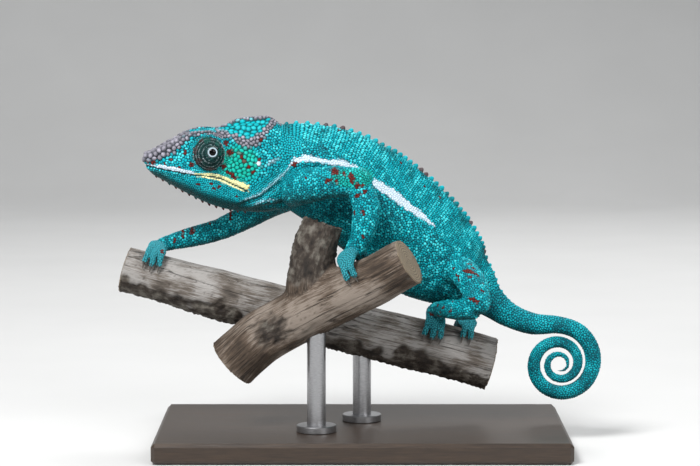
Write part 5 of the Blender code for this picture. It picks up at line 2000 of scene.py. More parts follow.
    def beside(
        self,
        tree: BVHTree,
        line: list[tuple[float, ...]],
        offset: float,
        spacing: float,
        shift: float,
        reach: tuple[float, float],
        of_head: bool,
    ) -> list[Vector]:
        """Give spots on both sides of the animal in a row along a line.

        Args:
            tree: The skin's tree.
            line: The line, as ahead and up on the head, or as the model's X and Z.
            offset: How far to the line's left the row runs.
            spacing: The distance between spots.
            shift: How much of a space the row starts late by.
            reach: The least and the most of the line's first numbers that the row covers.
            of_head: Whether the line is in the head's own directions.

        Returns:
            The spots.
        """
        line = np.asarray(line, float)[:, :2]
        run = run_along(line)
        at = np.arange(shift * spacing, run[-1], spacing)
        row = np.column_stack([np.interp(at, run, line[:, k]) for k in (0, 1)])
        way = unit(np.gradient(row, axis=0))
        row += offset * np.column_stack([-way[:, 1], way[:, 0]])
        found = []
        for first, up in row[(row[:, 0] > reach[0]) & (row[:, 0] < reach[1])]:
            for side in (1, -1):
                ends = [(first, side * 30.0, up), (first, 0.0, up)]
                start, middle = (on_head(end) if of_head else np.array(end) * (1, -1, 1) for end in ends)
                found.append(tree.ray_cast(start, unit(middle - start), 29.0)[0])
        return [hit for hit in found if hit is not None]

    @staticmethod
    def ring_tones(steps: np.ndarray) -> np.ndarray:
        """Find the tone of the turret ring nearest to each step.

        Args:
            steps: Steps along the turret.

        Returns:
            Their tones.
        """
        known, _, tones = turret_bands()
        order = np.argsort(known)
        edges = (known[order][1:] + known[order][:-1]) / 2
        return tones[order][np.searchsorted(edges, steps)]

    def scatter(
        self,
        spots: np.ndarray,
        pitch: np.ndarray,
        free: np.ndarray,
        rng: np.random.Generator,
        chosen: list[int],
    ) -> list[int]:
        """Pick spots at random that stand at least their pitch from any picked before.

        Args:
            spots: The points to pick from.
            pitch: The least distance at each.
            free: Which of them may be picked.
            rng: The source of chance.
            chosen: Those already picked.

        Returns:
            All that are picked.
        """
        tree, blocked, picked = kd_tree(spots), ~free, list(chosen)
        for number in chosen:
            for _, other, _ in tree.find_range(spots[number], pitch[number] * 0.95):
                blocked[other] = True
        for number in rng.permutation(len(spots)):
            if not blocked[number]:
                picked.append(int(number))
                for _, other, _ in tree.find_range(spots[number], pitch[number]):
                    blocked[other] = True
        return picked

    def fit(self, roots: np.ndarray, spots: np.ndarray, rng: np.random.Generator, held: int) -> Roots:
        """Give each scale the shape of the patch of skin that is nearer to it than to any other.

        Args:
            roots: Where the scales stand.
            spots: Points spread evenly over the skin.
            rng: The source of chance.
            held: How many of the first roots stand in rows, and so hardly move.

        Returns:
            The scales' roots.
        """
        tree = self.skin.surface.tree()
        for last in (False, True):
            near = kd_tree(roots)
            owner = np.array([near.find(spot)[1] for spot in spots])
            count = np.maximum(np.bincount(owner, minlength=len(roots)), 1)
            middle = np.stack([np.bincount(owner, spots[:, k], len(roots)) / count for k in range(3)], -1)
            if not last:
                in_row = np.arange(len(roots)) < held
                pull = np.where(in_row, self.pull_in_rows, self.pull_between)[:, None]
                roots = np.array([tree.find_nearest(spot)[0] for spot in roots + pull * (middle - roots)])
        middle, normals = (np.array(part) for part in list(zip(*map(tree.find_nearest, middle)))[:2])
        places = Places.found(self.skin.flesh, middle, normals)
        gap = spots - middle[owner]
        gap -= normals[owner] * np.einsum("ij,ij->i", gap, normals[owner])[:, None]
        shape = [np.bincount(owner, gap[:, i] * gap[:, j], len(roots)) for i, j in np.ndindex(3, 3)]
        shape = np.stack(shape, -1).reshape(-1, 3, 3)
        values, vectors = np.linalg.eigh(shape / count[:, None, None])
        wide = 2.0 * np.sqrt(np.maximum(values[:, 1:], 1e-4))
        ahead = places.head[:, 0]
        lip = np.abs(beside_line(places.head[:, (0, 2)], LIP_LINE)[0])
        at_lip = places.on("head") & (lip < 1.0) & (ahead > -17.0)
        wide[:, 0] = np.minimum(wide[:, 0], np.where(at_lip, lip - 0.06, 9.0))
        wide = np.clip(wide, self.narrowest, self.widest)
        wide[:, 1] = np.minimum(wide[:, 1], self.longest_share * wide[:, 0])
        line = np.array(LIP_LINE)
        rise = np.interp(ahead, line[:, 0], np.gradient(line[:, 1], line[:, 0]))
        lip_way = on_head(np.column_stack([1 + 0 * rise, 0 * rise, rise])) - on_head((0, 0, 0))
        along = np.where(at_lip[:, None], lip_way, vectors[:, :, 2])
        masks = Markings().paint(places)
        size = np.sqrt(wide[:, 0] * wide[:, 1])
        lumpy = masks["ridge"] * (1.1 + 0.7 * rng.random(len(size))) * np.interp(ahead, [0, 12], [0.5, 1])
        tall = self.height * size * (1 + lumpy) * np.where(masks["plate"] > 0.5, 0.75, 1.0)
        tall *= 1 - 0.62 * masks["yellow"]
        tall *= 1 + 0.25 * places.on("_upper", "_lower", "trunk") * (size > 0.62)
        tone, flat = self.tones(places, size, rng), Pattern(self.skin.flesh).lay(places)
        return Roots(middle, normals, along, np.column_stack([wide[:, ::-1], tall]), flat, tone, masks)

    def tones(self, places: Places, size: np.ndarray, rng: np.random.Generator) -> np.ndarray:
        """Give each scale its lightness: big ones are paler, and the back's run in columns.

        Args:
            places: The scales' places.
            size: How large each is.
            rng: The source of chance.

        Returns:
            Their tones, from 0 to 1.
        """
        chance = rng.random(len(size))
        tone = 0.22 + 0.30 * chance
        head, trunk = places.on("head"), places.on("trunk")
        neck = soft(-places.points[:, 0], 22.0, 30.0)
        dotted = places.on("_upper", "_lower") | (trunk & (neck < 0.5))
        big = soft(size, 0.55, 0.72) * dotted
        tone += big * (0.36 + 0.22 * chance) - 0.12 * dotted * (1 - big)
        fine = np.linspace(0.5, 9.0, 400)
        run = np.array([BODY.length(0.5, step) for step in fine])
        column = np.round(np.interp(places.step, fine, run) / self.column_pitch).astype(int)
        streak = 0.6 * rng.random(column.max() + 1)[column]
        streak += 0.4 * ripple(places.points * (1, 1, 0.22), 4.0, 19)
        tone += (self.ruled(places) & trunk) * (0.20 + 0.34 * (streak - 0.3))
        fine_rows = (head & (places.head[:, 2] < -9)) | (trunk & (neck > 0.5))
        tone = np.where(fine_rows, 0.46 + 0.12 * chance, tone)
        tone += head * ~fine_rows * (0.10 + 0.26 * (chance > 0.78) - 0.10 * (chance < 0.15))
        speck = 0.35 * (rng.random(len(size)) > 0.93)
        ringed = self.ring_tones(places.step) * (0.75 + 0.4 * chance) + speck
        tone = np.where(places.on("turret_left", "turret_right"), ringed, tone)
        band = np.sin(places.share * 2 * math.pi * 11 + 0.8 * ripple(places.points, 12.0, 23))
        return np.clip(tone + 0.16 * places.on("tail") * band, 0, 1)


@dataclass
class Crests:
    """The pointed tubercles along the back and under the chin, as pitch, radius and height."""

    skin: Skin
    back_size: tuple[float, float, float] = (2.7, 1.45, 1.75)
    chin_size: tuple[float, float, float] = (3.2, 0.75, 1.5)
    sink: float = 0.6

    def back(self) -> Roots:
        """Set the back's crest, from the nape to the root of the tail.

        Returns:
            Its tubercles' roots.
        """
        pitch, radius, height = self.back_size
        start, end = 1.25, 10.6
        count = round(BODY.length(start, end) / pitch)
        steps = BODY.even_steps(start, end, 2 * count + 1)[1::2]
        _, along, _, up = BODY.line(steps)
        size = np.interp(steps, [1.2, 2.2, 6.0, 8.0, 10.6], [0.75, 1.0, 1.0, 0.7, 0.35])
        size = size * (0.92 + 0.16 * np.random.default_rng(5).random(count))
        return self.stand(BODY.rings(steps, 1)[:, 0], up + 0.1 * along, along, size, radius, height, 0.16)

    def chin(self) -> Roots:
        """Set the crest under the chin.

        Returns:
            Its tubercles' roots.
        """
        pitch, radius, height = self.chin_size
        fine = head_rings(np.linspace(2.4, 9.0, 400), 44)[:, 22]
        run = run_along(fine)
        places = np.arange(pitch / 2, run[-1], pitch)
        points = np.column_stack([np.interp(places, run, fine[:, axis]) for axis in range(3)])
        along = np.tile(on_head((-1.0, 0, 0)) - on_head((0.0, 0, 0)), (len(points), 1))
        size = 1 - 0.35 * np.abs(places / run[-1] - 0.4)
        return self.stand(points, along * 0.3 + (0, 0, -1), along, size, radius, height, 0.9)

    def stand(
        self,
        points: np.ndarray,
        facing: np.ndarray,
        along: np.ndarray,
        size: np.ndarray,
        radius: float,
        height: float,
        reddish: float,
    ) -> Roots:
        """Set tubercles on the skin near a line of points.

        Args:
            points: The line.
            facing: The way each one points.
            along: The way the line runs.
            size: How large each is, near 1.
            radius: Half their length.
            height: How far they stand out.
            reddish: The share of them that is red.

        Returns:
            Their roots.
        """
        tree = self.skin.surface.tree()
        points = np.array([tree.find_nearest(point)[0] for point in points]) - unit(facing) * self.sink
        places = Places.found(self.skin.flesh, points, unit(facing))
        masks = Markings().paint(places)
        chance = np.random.default_rng(9).random((len(points), 2))
        masks["red"] = np.maximum(masks["red"], 0.75 * (chance[:, 0] < reddish))
        spread = np.column_stack([radius * size, 0.78 * radius * size, (height + self.sink) * size])
        flat = Pattern(self.skin.flesh).lay(places)
        return Roots(points, facing, along, spread, flat, 0.35 + 0.3 * chance[:, 1], masks)


# ---- Eyes and claws ----------------------------------------------


def turned(
    profile: list[tuple[float, float]],
    middle: np.ndarray,
    along: np.ndarray,
    across: np.ndarray,
    around: int,
) -> np.ndarray:
    """Turn a profile about a line into rings.

    Args:
        profile: Distances from the line and heights along it.
        middle: Where the heights start.
        along: The line's direction.
        across: The direction, square to it, in which the rings start.
        around: Points in each ring.

    Returns:
        The points, ring by ring.
    """
    turn = np.linspace(0, 2 * math.pi, around, endpoint=False)
    circle = np.outer(np.cos(turn), across) + np.outer(np.sin(turn), np.cross(along, across))
    return np.array([middle + circle * radius + np.asarray(along) * height for radius, height in profile])


@dataclass
class Eye:
    """One eyeball, and the pale rim of the lids' small opening round it."""

    # Outline of the opening's rim: places outwards and up from its middle line.
    RIM = (
        (-0.30, -0.12), (-0.26, 0.10), (-0.12, 0.20), (0.06, 0.20), (0.26, 0.08), (0.46, -0.18),
        (0.62, -0.50), (0.40, -0.62), (-0.10, -0.45),
    )

    side: int
    name: str
    pupil: float = 1.3
    rim_radius: float = 1.77

    def circles(self, profile: list[tuple[float, float]], around: int) -> np.ndarray:
        """Turn a profile, of distances from the line of sight and heights along it, into rings."""
        sight, middle = sight_of(self.side), eyeball_middle(self.side)
        return turned(profile, middle, sight, unit(np.cross(sight, (0, 0, 1.0))), around)

    def ball(self) -> bpy.types.Object:
        """Make the eyeball, with each point's distance from the line of sight for the finish to read.

        Returns:
            The eyeball.
        """
        turns = np.linspace(0.02, math.pi - 0.02, 40)
        profile = [(EYEBALL_RADIUS * math.sin(t), EYEBALL_RADIUS * math.cos(t)) for t in turns]
        piece = lofted_piece(self.name, [self.circles(profile, 48)])
        points = np.array([v.co for v in piece.data.vertices]) / MM
        give(piece.data, "from_sight", off_sight(points, self.side)[0])
        piece.data.materials.append(self.finish())
        return piece

    def lids(self, finish: bpy.types.Material) -> bpy.types.Object:
        """Make the rim of the opening, pale inside and dark where it meets the turret's skin.

        Args:
            finish: The scales' material.

        Returns:
            The rim.
        """
        height = math.sqrt(EYEBALL_RADIUS**2 - self.rim_radius**2) + 0.06
        rings = self.circles([(self.rim_radius + out, height + up) for out, up in self.RIM], 56)
        count, around, _ = rings.shape
        number = np.arange(count * around).reshape(count, around)
        shifts = ((0, 0), (0, -1), (-1, -1), (-1, 0))
        corners = [np.roll(number, shift, (0, 1)) for shift in shifts]
        faces = np.stack(corners, -1).reshape(-1, 4).tolist()
        piece = new_piece(self.name.replace("eye", "lids"), rings.reshape(-1, 3), faces)
        white = np.interp([out for out, _ in self.RIM], (-0.1, 0.2, 0.5), (0.75, 0.4, 0.08))
        white = np.repeat(white, around)
        give(piece.data, "marks_a", np.outer(white, (1, 0, 0)))
        give(piece.data, "marks_b", np.tile((0.0, 1.0, 0.0), (count * around, 1)))
        give(piece.data, "tone", 0.25 + 0.6 * white)
        face_outwards(piece.data)
        piece.data.materials.append(finish)
        return piece

    def finish(self) -> bpy.types.Material:
        """Give the eyeball's finish: a black pupil in a narrow dark iris, under a wet gloss.

        Returns:
            The material.
        """
        found = bpy.data.materials.get("eye_wet_black")
        if found:
            return found
        material, w, shader = new_finish("eye_wet_black")
        feeds = {0: w.attribute("from_sight").outputs["Fac"], 1: self.pupil - 0.06, 2: self.pupil + 0.1}
        share = w.add("ShaderNodeMapRange", feeds).outputs[0]
        iris = w.noise(w.place(), 0.25, 2.0)
        iris = w.ramp(iris, (0.3, (0.006, 0.004, 0.003)), (0.7, (0.02, 0.012, 0.006)))
        look = {"Base Color": w.mix(share, (0.0008, 0.0008, 0.001, 1), iris), "Roughness": 0.1}
        w.feed(shader, look | {"Specular IOR Level": 0.03, "Coat Weight": 0.28, "Coat Roughness": 0.03})
        return material


@dataclass(frozen=True)
class HornFinish:
    """The claws' horn, dark at the root and paler towards the point."""

    root: tuple = (0.022, 0.022, 0.022)
    tip: tuple = (0.105, 0.092, 0.078)

    def make(self) -> bpy.types.Material:
        """Build the material.

        Returns:
            The material.
        """
        material, w, shader = new_finish("claw_horn")
        streak = w.noise(w.place(), 0.5, 3.0)
        tipward = w.attribute("tipward").outputs["Fac"]
        share = w.sum("MULTIPLY_ADD", w.sum("SUBTRACT", streak, 0.5), 0.5, tipward)
        colour = w.ramp(share, (0.1, self.root), (1.0, self.tip))
        w.feed(shader, {"Base Color": colour, "Roughness": 0.3, "Normal": w.bump(streak, 0.25, 0.0001)})
        return material


@dataclass
class Claws:
    """The claws of one foot, hooked towards the bark."""

    foot: str
    around: int = 14
    rings: int = 12

    def build(self, finish: bpy.types.Material) -> bpy.types.Object:
        """Make the foot's claws as one piece.

        Args:
            finish: Their material.

        Returns:
            The claws.
        """
        lofts, shares = [], []
        for toe in toes_of(self.foot).values():
            claw = claw_form(self.foot, toe)
            lofts.append(claw.domed_rings(0, claw.last, self.rings, self.around, domes=(0, 2)))
            per_ring = [*claw.even_steps(0, claw.last, self.rings) / claw.last, 1.0, 1.0]
            shares += [*np.repeat(per_ring, self.around), 0.0, 1.0]
        piece = lofted_piece(f"claws_{self.foot}", lofts)
        give(piece.data, "tipward", np.array(shares))
        piece.data.materials.append(finish)
        return piece


# ---- Perch and stand ---------------------------------------------


@dataclass
class Branch:
    """A cut length of weathered branch: bare grey wood with patches of dark rough bark."""

    name: str
    forms: tuple[Form, ...]
    seed: int
    face_size: float = 0.85
    bark_from: float = 0.2
    knots: tuple[tuple[float, float, float, float], ...] = ()
    rough_from: float = 1e6

    def build(self, finish: bpy.types.Material) -> bpy.types.Object:
        """Fuse the forms and carve grain, cracks, knots and bark into them, only inwards.

        Args:
            finish: The wood's material.

        Returns:
            The branch.
        """
        lofts = [form.domed_rings(0, form.last, 120, 90, 0.05) for form in self.forms]
        surface = Surface.fused(lofts, self.face_size)
        surface.fill_creases(30 if len(self.forms) > 1 else 0)
        points, normals = surface.points, surface.normals()
        lay, end = self.unrolled(points, normals)
        stub = soft(lay[:, 2] + 2.5 * self.swell(points, 9.0, 11), self.rough_from, self.rough_from + 5.0)
        bark = np.maximum(self.bark(lay, normals), stub)
        broken, cut = stub * end, end * (1 - stub)
        cracks = np.clip(1 - np.abs(self.swell(lay * (1, 1, 0.04), 9.0, 2)) / 0.05, 0, 1) ** 2
        plates = self.swell(points, 4.4, 4) * self.swell(points * (1.3, 1, 1), 7.0, 5)
        knot = self.knotted(points)
        rough = np.maximum(bark, knot)
        depth = 0.5 + 0.3 * self.swell(points, 24.0, 3) + 0.10 * self.swell(lay * (1, 1, 0.10), 2.6, 0)
        depth += 0.06 * self.swell(lay * (1, 1, 0.12), 1.5, 1) + 0.5 * cracks * (1 - rough) + 1.5 * knot
        depth += rough * (0.15 + 1.1 * np.abs(plates) + 0.35 * self.swell(points, 2.0, 6))
        wide, on_break = np.linalg.norm(lay[:, :2], axis=1), broken > 0.5
        edge = max(float(np.quantile(wide[on_break], 0.98)), 0.1) if np.any(on_break) else math.inf
        rim = wide / edge
        depth = np.clip(depth, 0.02, 3.0) * (1 - 0.6 * cut)
        hollow = broken * soft(0.86 - rim + 0.2 * plates, 0.0, 0.35)
        depth += hollow * (2.4 + 1.3 * self.swell(points, 6.0, 12))
        piece = new_piece(self.name, points - normals * depth[:, None], surface.quads.tolist())
        give(piece.data, "lay", lay * MM)
        covered = np.clip(rough - 0.8 * broken * soft(rim, 0.78, 0.92), 0, 1)
        # The crack share makes the finish paint shade in the cracks.
        give(piece.data, "wear", np.column_stack([covered, np.clip(cracks * (1 - rough), 0, 1), cut]))
        piece.data.materials.append(finish)
        return piece

    def swell(self, points: np.ndarray, size: float, number: int) -> np.ndarray:
        """Give one of the branch's own smooth random patterns."""
        return ripple(points, size, self.seed + number)

    def unrolled(self, points: np.ndarray, normals: np.ndarray) -> tuple[np.ndarray, np.ndarray]:
        """Lay each point as if its branch were straight and upright.

        Args:
            points: The points.
            normals: The outward directions there.

        Returns:
            Their places, and how far each is on a cut end.
        """
        best = np.full(len(points), np.inf)
        lay, end = np.zeros((len(points), 3)), np.zeros(len(points))
        for number, form in enumerate(self.forms):
            steps = form.even_steps(0, form.last, 200)
            centre, along, side, up = form.line(steps)
            size = blend_rows(form.rows[:, 3:4], steps)[:, 0]
            run = run_along(centre)
            for k in range(len(steps)):
                away = points - centre[k]
                on = away @ along[k]
                gap = np.linalg.norm(away, axis=1) / size[k] + 0.02 * np.abs(on)
                nearer = gap < best
                best = np.where(nearer, gap, best)
                spot = np.column_stack([away @ side[k], away @ up[k], run[k] + on + 400.0 * number])
                lay = np.where(nearer[:, None], spot, lay)
                flat = soft(np.abs(normals @ along[k]), 0.6, 0.9) * (k < 8 or k > len(steps) - 9)
                end = np.where(nearer, flat, end)
        return lay, end

    def bark(self, lay: np.ndarray, normals: np.ndarray) -> np.ndarray:
        """Give how far each point is covered by bark: the under side, with a ragged edge."""
        ragged = self.swell(lay * (1, 1, 0.35), 14.0, 8) + 0.5 * self.swell(lay * (1, 1, 0.5), 4.0, 9)
        return soft(0.42 * ragged - normals[:, 2], self.bark_from, self.bark_from + 0.3)

    def knotted(self, points: np.ndarray) -> np.ndarray:
        """Find how deep each point lies in a knot or a broken rough patch.

        Args:
            points: The points.

        Returns:
            A share from 0 to 1 for each.
        """
        total = np.zeros(len(points))
        for *middle, radius in self.knots:
            gap = np.linalg.norm(points - middle, axis=1) / radius + 0.25 * self.swell(points, 4.0, 10)
            total = np.maximum(total, soft(-gap, -1.1, -0.5))
        return total


def wood_grain_group() -> bpy.types.NodeTree:
    """Build the node group for wood grain: streaks along a piece, and a height for bumps.

    Returns:
        The group.
    """
    found = bpy.data.node_groups.get("wood_grain")
    if found:
        return found
    takes = {"Place": ("Vector", (0.0, 0.0, 0.0)), "Width": ("Float", 1.0)}
    gives = {"Streaks": "Float", "Height": "Float", "Cracks": "Float"}
    w, given, out = new_group("ShaderNodeTree", "wood_grain", takes, gives)
    scale = w.vector("SCALE", {0: given["Place"], 3: given["Width"]}).outputs[0]
    first = w.noise(w.stretched(scale, 0.09), 2.2, 9.0, Roughness=0.72)
    second = w.noise(w.stretched(scale, 0.07), 0.42, 6.0, Roughness=0.65)
    split = w.noise(w.stretched(scale, 0.05), 4.5, 6.0, Distortion=0.4)
    offset = w.sum("ABSOLUTE", w.sum("SUBTRACT", split, 0.5))
    cracks = w.add("ShaderNodeMapRange", {0: offset, 1: 0.002, 2: 0.014, 3: 1.0, 4: 0.0}).outputs[0]
    streaks = w.sum("MULTIPLY_ADD", second, 0.62, w.sum("MULTIPLY", first, 0.44))
    height = w.sum("MULTIPLY_ADD", second, 0.7, w.sum("MULTIPLY", first, 0.5))
    height = w.sum("MULTIPLY_ADD", cracks, -0.8, height)
    w.feed(out, {"Streaks": streaks, "Height": height, "Cracks": cracks})
    return w.tree


@dataclass(frozen=True)
class DriftwoodFinish:
    """Weathered bare wood, with darker bark, cut ends, and cracks darkened by painted shade."""

    name: str
    pale: tuple
    brown: tuple
    bark: tuple = (0.016, 0.013, 0.011)
    bark_mid: tuple = (0.042, 0.032, 0.025)
    bark_pale: tuple = (0.145, 0.132, 0.112)
    cut: tuple = (0.27, 0.215, 0.15)

    def make(self) -> bpy.types.Material:
        """Build the material.

        Returns:
            The material.
        """
        material, w, shader = new_finish(self.name)
        place, lay = w.place(), w.attribute("lay").outputs["Vector"]
        grain = w.add("ShaderNodeGroup", {"Place": lay, "Width": 1.0}, node_tree=wood_grain_group())
        bark, crack, end = w.parts("wear")
        tint = w.sum("SUBTRACT", w.noise(place, 16.0, 3.0), 0.5)
        tint = w.sum("MULTIPLY_ADD", tint, 0.9, grain.outputs["Streaks"])
        wood = w.ramp(tint, (0.30, shaded(self.brown, 0.35)), (0.46, self.brown), (0.62, self.pale))
        speck = w.noise(w.stretched(lay, 0.4), 1.5, 7.0, Roughness=0.75)
        patch = w.sum("MULTIPLY_ADD", w.noise(place, 5.5, 3.0), 0.7, w.sum("MULTIPLY", speck, 0.55))
        rough_bark = w.ramp(patch, (0.48, self.bark), (0.62, self.bark_mid), (0.78, self.bark_pale))
        rings = w.vector("MULTIPLY", {0: lay, 1: (1.0, 1.0, 0.0)}).outputs[0]
        length = w.sum("MULTIPLY", w.vector("LENGTH", {0: rings}).outputs["Value"], 5200.0)
        wave = w.sum("SINE", w.sum("MULTIPLY_ADD", w.noise(place, 6.0, 2.0), 9.0, length))
        wave = w.sum("MULTIPLY_ADD", wave, 0.5, 0.5)
        cut = w.ramp(wave, (0.0, shaded(self.cut, 0.55)), (0.8, self.cut))
        colour = w.mix(bark, wood, rough_bark)
        # Painted shade: cracks, large and fine, darken towards a deep brown, except on bark.
        fine_crack_shade = w.sum("MULTIPLY", grain.outputs["Cracks"], 0.75)
        split = w.sum("MAXIMUM", w.sum("MULTIPLY", crack, 0.7), fine_crack_shade)
        split = w.sum("MULTIPLY", split, w.sum("SUBTRACT", 1.0, bark))
        colour = w.mix(split, colour, (*shaded(self.brown, 0.22), 1.0))
        height = w.add("ShaderNodeMix", {0: bark, 2: grain.outputs["Height"], 3: speck}).outputs[0]
        look = {"Base Color": w.mix(end, colour, cut), "Roughness": w.span(height, 0.62, 0.9)}
        w.feed(shader, look | {"Specular IOR Level": 0.3, "Normal": w.bump(height, 0.85, 0.0008)})
        return material


class StandFinish(Enum):
    """Finishes of the display stand."""

    BASE = "stand_stained_wood"
    ROD = "stand_brushed_steel"

    def make(self) -> bpy.types.Material:
        """Build the material.

        Returns:
            The material.
        """
        material, w, shader = new_finish(self.value)
        if self is StandFinish.BASE:
            lengthwise = w.add("ShaderNodeMapping", {0: w.place(), 2: (0.0, math.pi / 2, 0.0)})
            feeds = {"Place": lengthwise.outputs[0], "Width": 0.55}
            grain = w.add("ShaderNodeGroup", feeds, node_tree=wood_grain_group())
            streaks, height, _ = grain.outputs
            colour = w.ramp(streaks, (0.3, (0.014, 0.010, 0.008)), (0.75, (0.06, 0.038, 0.024)))
            look = {"Roughness": w.span(streaks, 0.30, 0.42), "Normal": w.bump(height, 0.12, 0.0003)}
        else:
            lines = w.noise(w.stretched(w.place(), 14.0), 1.6, 4.0)
            colour = w.ramp(lines, (0.3, (0.30, 0.30, 0.31)), (0.7, (0.48, 0.48, 0.49)))
            look = {"Roughness": w.span(lines, 0.26, 0.4), "Normal": w.bump(lines, 0.15, 0.0001)}
            look["Metallic"] = 1.0
        w.feed(shader, look | {"Base Color": colour})
        return material


@dataclass
class Rod:
    """A round steel rod with a collar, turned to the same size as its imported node."""

    node: str
    around: int = 64
    edge: float = 0.3

    def build(self, finish: bpy.types.Material) -> bpy.types.Object:
        """Make the rod.

        Args:
            finish: Its material.

        Returns:
            The rod.
        """
        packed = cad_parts[self.node]
        points = np.array([packed.matrix_world @ v.co for v in packed.data.vertices]) / MM
        middle = (points.min(axis=0) + points.max(axis=0)) / 2 * (1, 1, 0)
        out = np.linalg.norm(points[:, :2] - middle[:2], axis=1)
        low, top = points[:, 2].min(), points[:, 2].max()
        wide, thin = out.max(), out[points[:, 2] > top - 0.01].max()
        shoulder = points[(out > wide - 0.01), 2].max()
        profile = [(wide, low), (wide, shoulder - self.edge), (wide - self.edge, shoulder)]
        profile += [(thin, shoulder), (thin, top)]
        rings = turned(profile, middle, (0, 0, 1), (1, 0, 0), self.around)
        piece = lofted_piece(self.node + "_turned", [rings])
        piece.data.set_sharp_from_angle(angle=math.radians(40))
        piece.data.materials.append(finish)
        return piece


# ---- Studio ------------------------------------------------------


@dataclass
class Studio:
    """A pale floor, soft light and the camera."""

    # Each light's name, place, size and power: a key from the front left, a weak fill, one behind.
    LIGHTS = (
        ("key", (-0.45, -0.75, 1.05), 0.5, 22.0),
        ("fill", (0.8, -0.9, 0.7), 0.7, 6.5),
        ("back", (0.3, 0.8, 1.0), 0.6, 8.0),
    )

    aim: tuple = (-0.0052, 0.0, 0.092)
    distance: float = 1.1
    elevation: float = math.radians(5.5)
    lens: float = 131.0
    floor_size: float = 6.0
    wall_place: float = 1.9
    wall_bend: float = 0.7
    wall_height: float = 2.6

    def build(self) -> None:
        """Set the whole studio up."""
        self.add_floor()
        self.add_lights()
        self.add_camera()

    def add_floor(self) -> None:
        """Lay a pale floor that curves up into a backdrop well behind the animal."""
        half, bend = self.floor_size / 2, self.wall_bend
        turns = np.linspace(0, math.pi / 2, 25)
        bent = [(self.wall_place - bend + bend * math.sin(t), bend * (1 - math.cos(t))) for t in turns]
        profile = [(-half, 0.0), *bent, (self.wall_place, self.wall_height)]
        mesh = bpy.data.meshes.new("floor")
        faces = [(2 * k, 2 * k + 1, 2 * k + 3, 2 * k + 2) for k in range(len(profile) - 1)]
        mesh.from_pydata([(x, y, z) for y, z in profile for x in (-half, half)], [], faces)
        mesh.shade_smooth()
        material, w, shader = new_finish("floor_paper")
        cloud = w.noise(w.place(), 90.0, 2.0)
        colour = w.ramp(cloud, (0.3, (0.60, 0.60, 0.595)), (0.7, (0.62, 0.62, 0.615)))
        w.feed(shader, {"Base Color": colour, "Roughness": 0.85})
        mesh.materials.append(material)
        linked("floor", mesh)

    def add_lights(self) -> None:
        """Add the lights and a pale sky."""
        for name, place, size, power in self.LIGHTS:
            light = bpy.data.lights.new(name, "AREA")
            light.size, light.energy = size, power
            self.look(linked(name, light), Vector(place))
        world = bpy.data.worlds.new("sky")
        world.use_nodes = True
        sky = world.node_tree.nodes["Background"].inputs
        sky[0].default_value, sky[1].default_value = (0.86, 0.88, 0.9, 1), 0.38
        bpy.context.scene.world = world

    def add_camera(self) -> None:
        """Add the camera, level with the animal and a little above it."""
        camera = bpy.data.cameras.new("camera")
        camera.lens, camera.clip_start, camera.clip_end = self.lens, 0.01, 50.0
        away = Vector((0, -math.cos(self.elevation), math.sin(self.elevation))) * self.distance
        bpy.context.scene.camera = self.look(linked("camera", camera), Vector(self.aim) + away)
        bpy.context.scene.view_settings.view_transform = "Standard"

    def look(self, looker: bpy.types.Object, place: Vector) -> bpy.types.Object:
        """Put a light or the camera in its place, turned to the model's middle.

        Args:
            looker: The light or the camera.
            place: Its place.

        Returns:
            The same object.
        """
        looker.location = place
        looker.rotation_euler = (Vector(self.aim) - place).to_track_quat("-Z", "Y").to_euler()
        return looker


# ---- The whole model ---------------------------------------------

FLESH_NODES = ["casque", "head", "jaw", "turret_left", "turret_right", "neck", "trunk_front", "trunk_rear"]
FLESH_PARTS = ("_upper_arm", "_forearm", "_hand", "_thigh", "_shank", "_foot")


def legs_named(end: str) -> tuple[str, ...]:
    """Name the regions of one pair of legs."""
    return tuple(f"{end}_{side}_{length}" for side in ("left", "right") for length in ("upper", "lower"))


# Each piece of scales, the skin it covers and the shape of its scales.
SCALE_AREAS = {
    "scales_head": (("head", "turret_left", "turret_right"), "FULL"),
    "scales_legs_front": (legs_named("fore"), "FULL"),
    "scales_legs_hind": (legs_named("hind"), "FULL"),
    "scales_feet": (("_foot",), "PLAIN"),
    "scales_tail": (("tail",), "PLAIN"),
    "scales_trunk_left": (("trunk",), "FULL"),
    "scales_trunk_right": (("trunk",), "FULL"),
}


def flesh_nodes() -> list[str]:
    """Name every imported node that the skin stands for."""
    limbs = [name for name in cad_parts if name.endswith(FLESH_PARTS) and not name.startswith("claw_")]
    return [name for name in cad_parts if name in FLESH_NODES + limbs or name.startswith("tail_")]


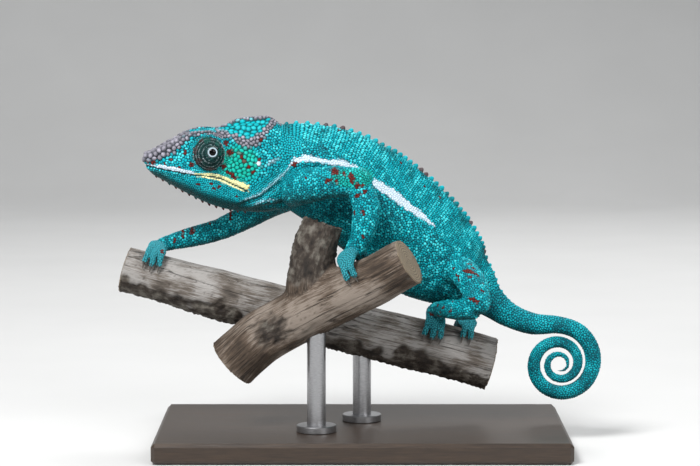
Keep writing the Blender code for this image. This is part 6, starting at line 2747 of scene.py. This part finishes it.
def add_animal() -> None:
    """Build the skin, scales, crests, eyes and claws."""
    skin = Skin()
    skin.build()
    # Its shade of 0.95 paints the skin between the scales nearly fully dark: painted shade in the gaps.
    ground = CoatFinish("skin_between_scales", shade=0.95, spread=0.5, roughness=0.6, grain=0.3).make()
    settle(skin.finish("skin", ground), flesh_nodes())

    tree = ScaleTree()
    scale_finish = CoatFinish("scale", shade=0.75, spread=0.45, roughness=0.42, grain=0.15).make()
    shapes = {shape.name: shape.mesh(sides) for shape, sides in zip(Dome, (7, 6, 8))}
    roots = Coat(skin).build()
    places = Places.found(skin.flesh, roots.points, roots.facing)
    left = roots.points[:, 1] < BODY.line(places.step)[0][:, 1]
    grown = []
    for name, (endings, shape) in SCALE_AREAS.items():
        chosen = places.on(*endings)
        if endings == ("trunk",):
            chosen &= left if name.endswith("_left") else ~left
        grown.append((name, roots.picked(chosen), shape))
    crests = Crests(skin)
    grown += [("crest_back", crests.back(), "SPIKE"), ("crest_chin", crests.chin(), "SPIKE")]
    for name, kept, shape in grown:
        settle(tree.grow(name, kept, shapes[shape], scale_finish), [])
    for shape in shapes.values():
        bpy.data.objects.remove(shape)

    for side, name in ((1, "eye_left"), (-1, "eye_right")):
        eye = Eye(side, name + "_ball")
        settle(eye.ball(), [name])
        settle(eye.lids(scale_finish), [])
    horn = HornFinish().make()
    for foot in GRIPS:
        stood_for = [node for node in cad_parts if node.startswith("claw_" + foot)]
        settle(Claws(foot).build(horn), stood_for)


def add_perch_and_stand() -> None:
    """Build the branches and dress the stand."""
    grey = DriftwoodFinish("driftwood_grey", pale=(0.31, 0.295, 0.28), brown=(0.125, 0.105, 0.088)).make()
    warm = DriftwoodFinish("driftwood_warm", pale=(0.235, 0.195, 0.162), brown=(0.088, 0.062, 0.044)).make()
    back = Branch("branch_back", (PERCH_BACK,), seed=31, bark_from=0.12)
    settle(back.build(grey), ["perch_back"])
    knots = ((-38.0, -27.0, 53.0, 8.5), (12.0, -40.0, 78.0, 3.0))
    forms = (PERCH_FRONT, STUB)
    front = Branch("branch_front", forms, seed=57, bark_from=0.78, knots=knots, rough_from=409.0)
    settle(front.build(warm), ["perch_front"])
    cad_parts["stand_base"].data.materials[0] = StandFinish.BASE.make()
    steel = StandFinish.ROD.make()
    for node in ("stand_rod_back", "stand_rod_front"):
        settle(Rod(node).build(steel), [node])


def main() -> None:
    """Build the model round the frame and set up the studio."""
    logging.basicConfig(level=logging.INFO, format="%(name)s: %(message)s")
    add_perch_and_stand()
    add_animal()
    Studio().build()


if __name__ == "__main__":
    main()
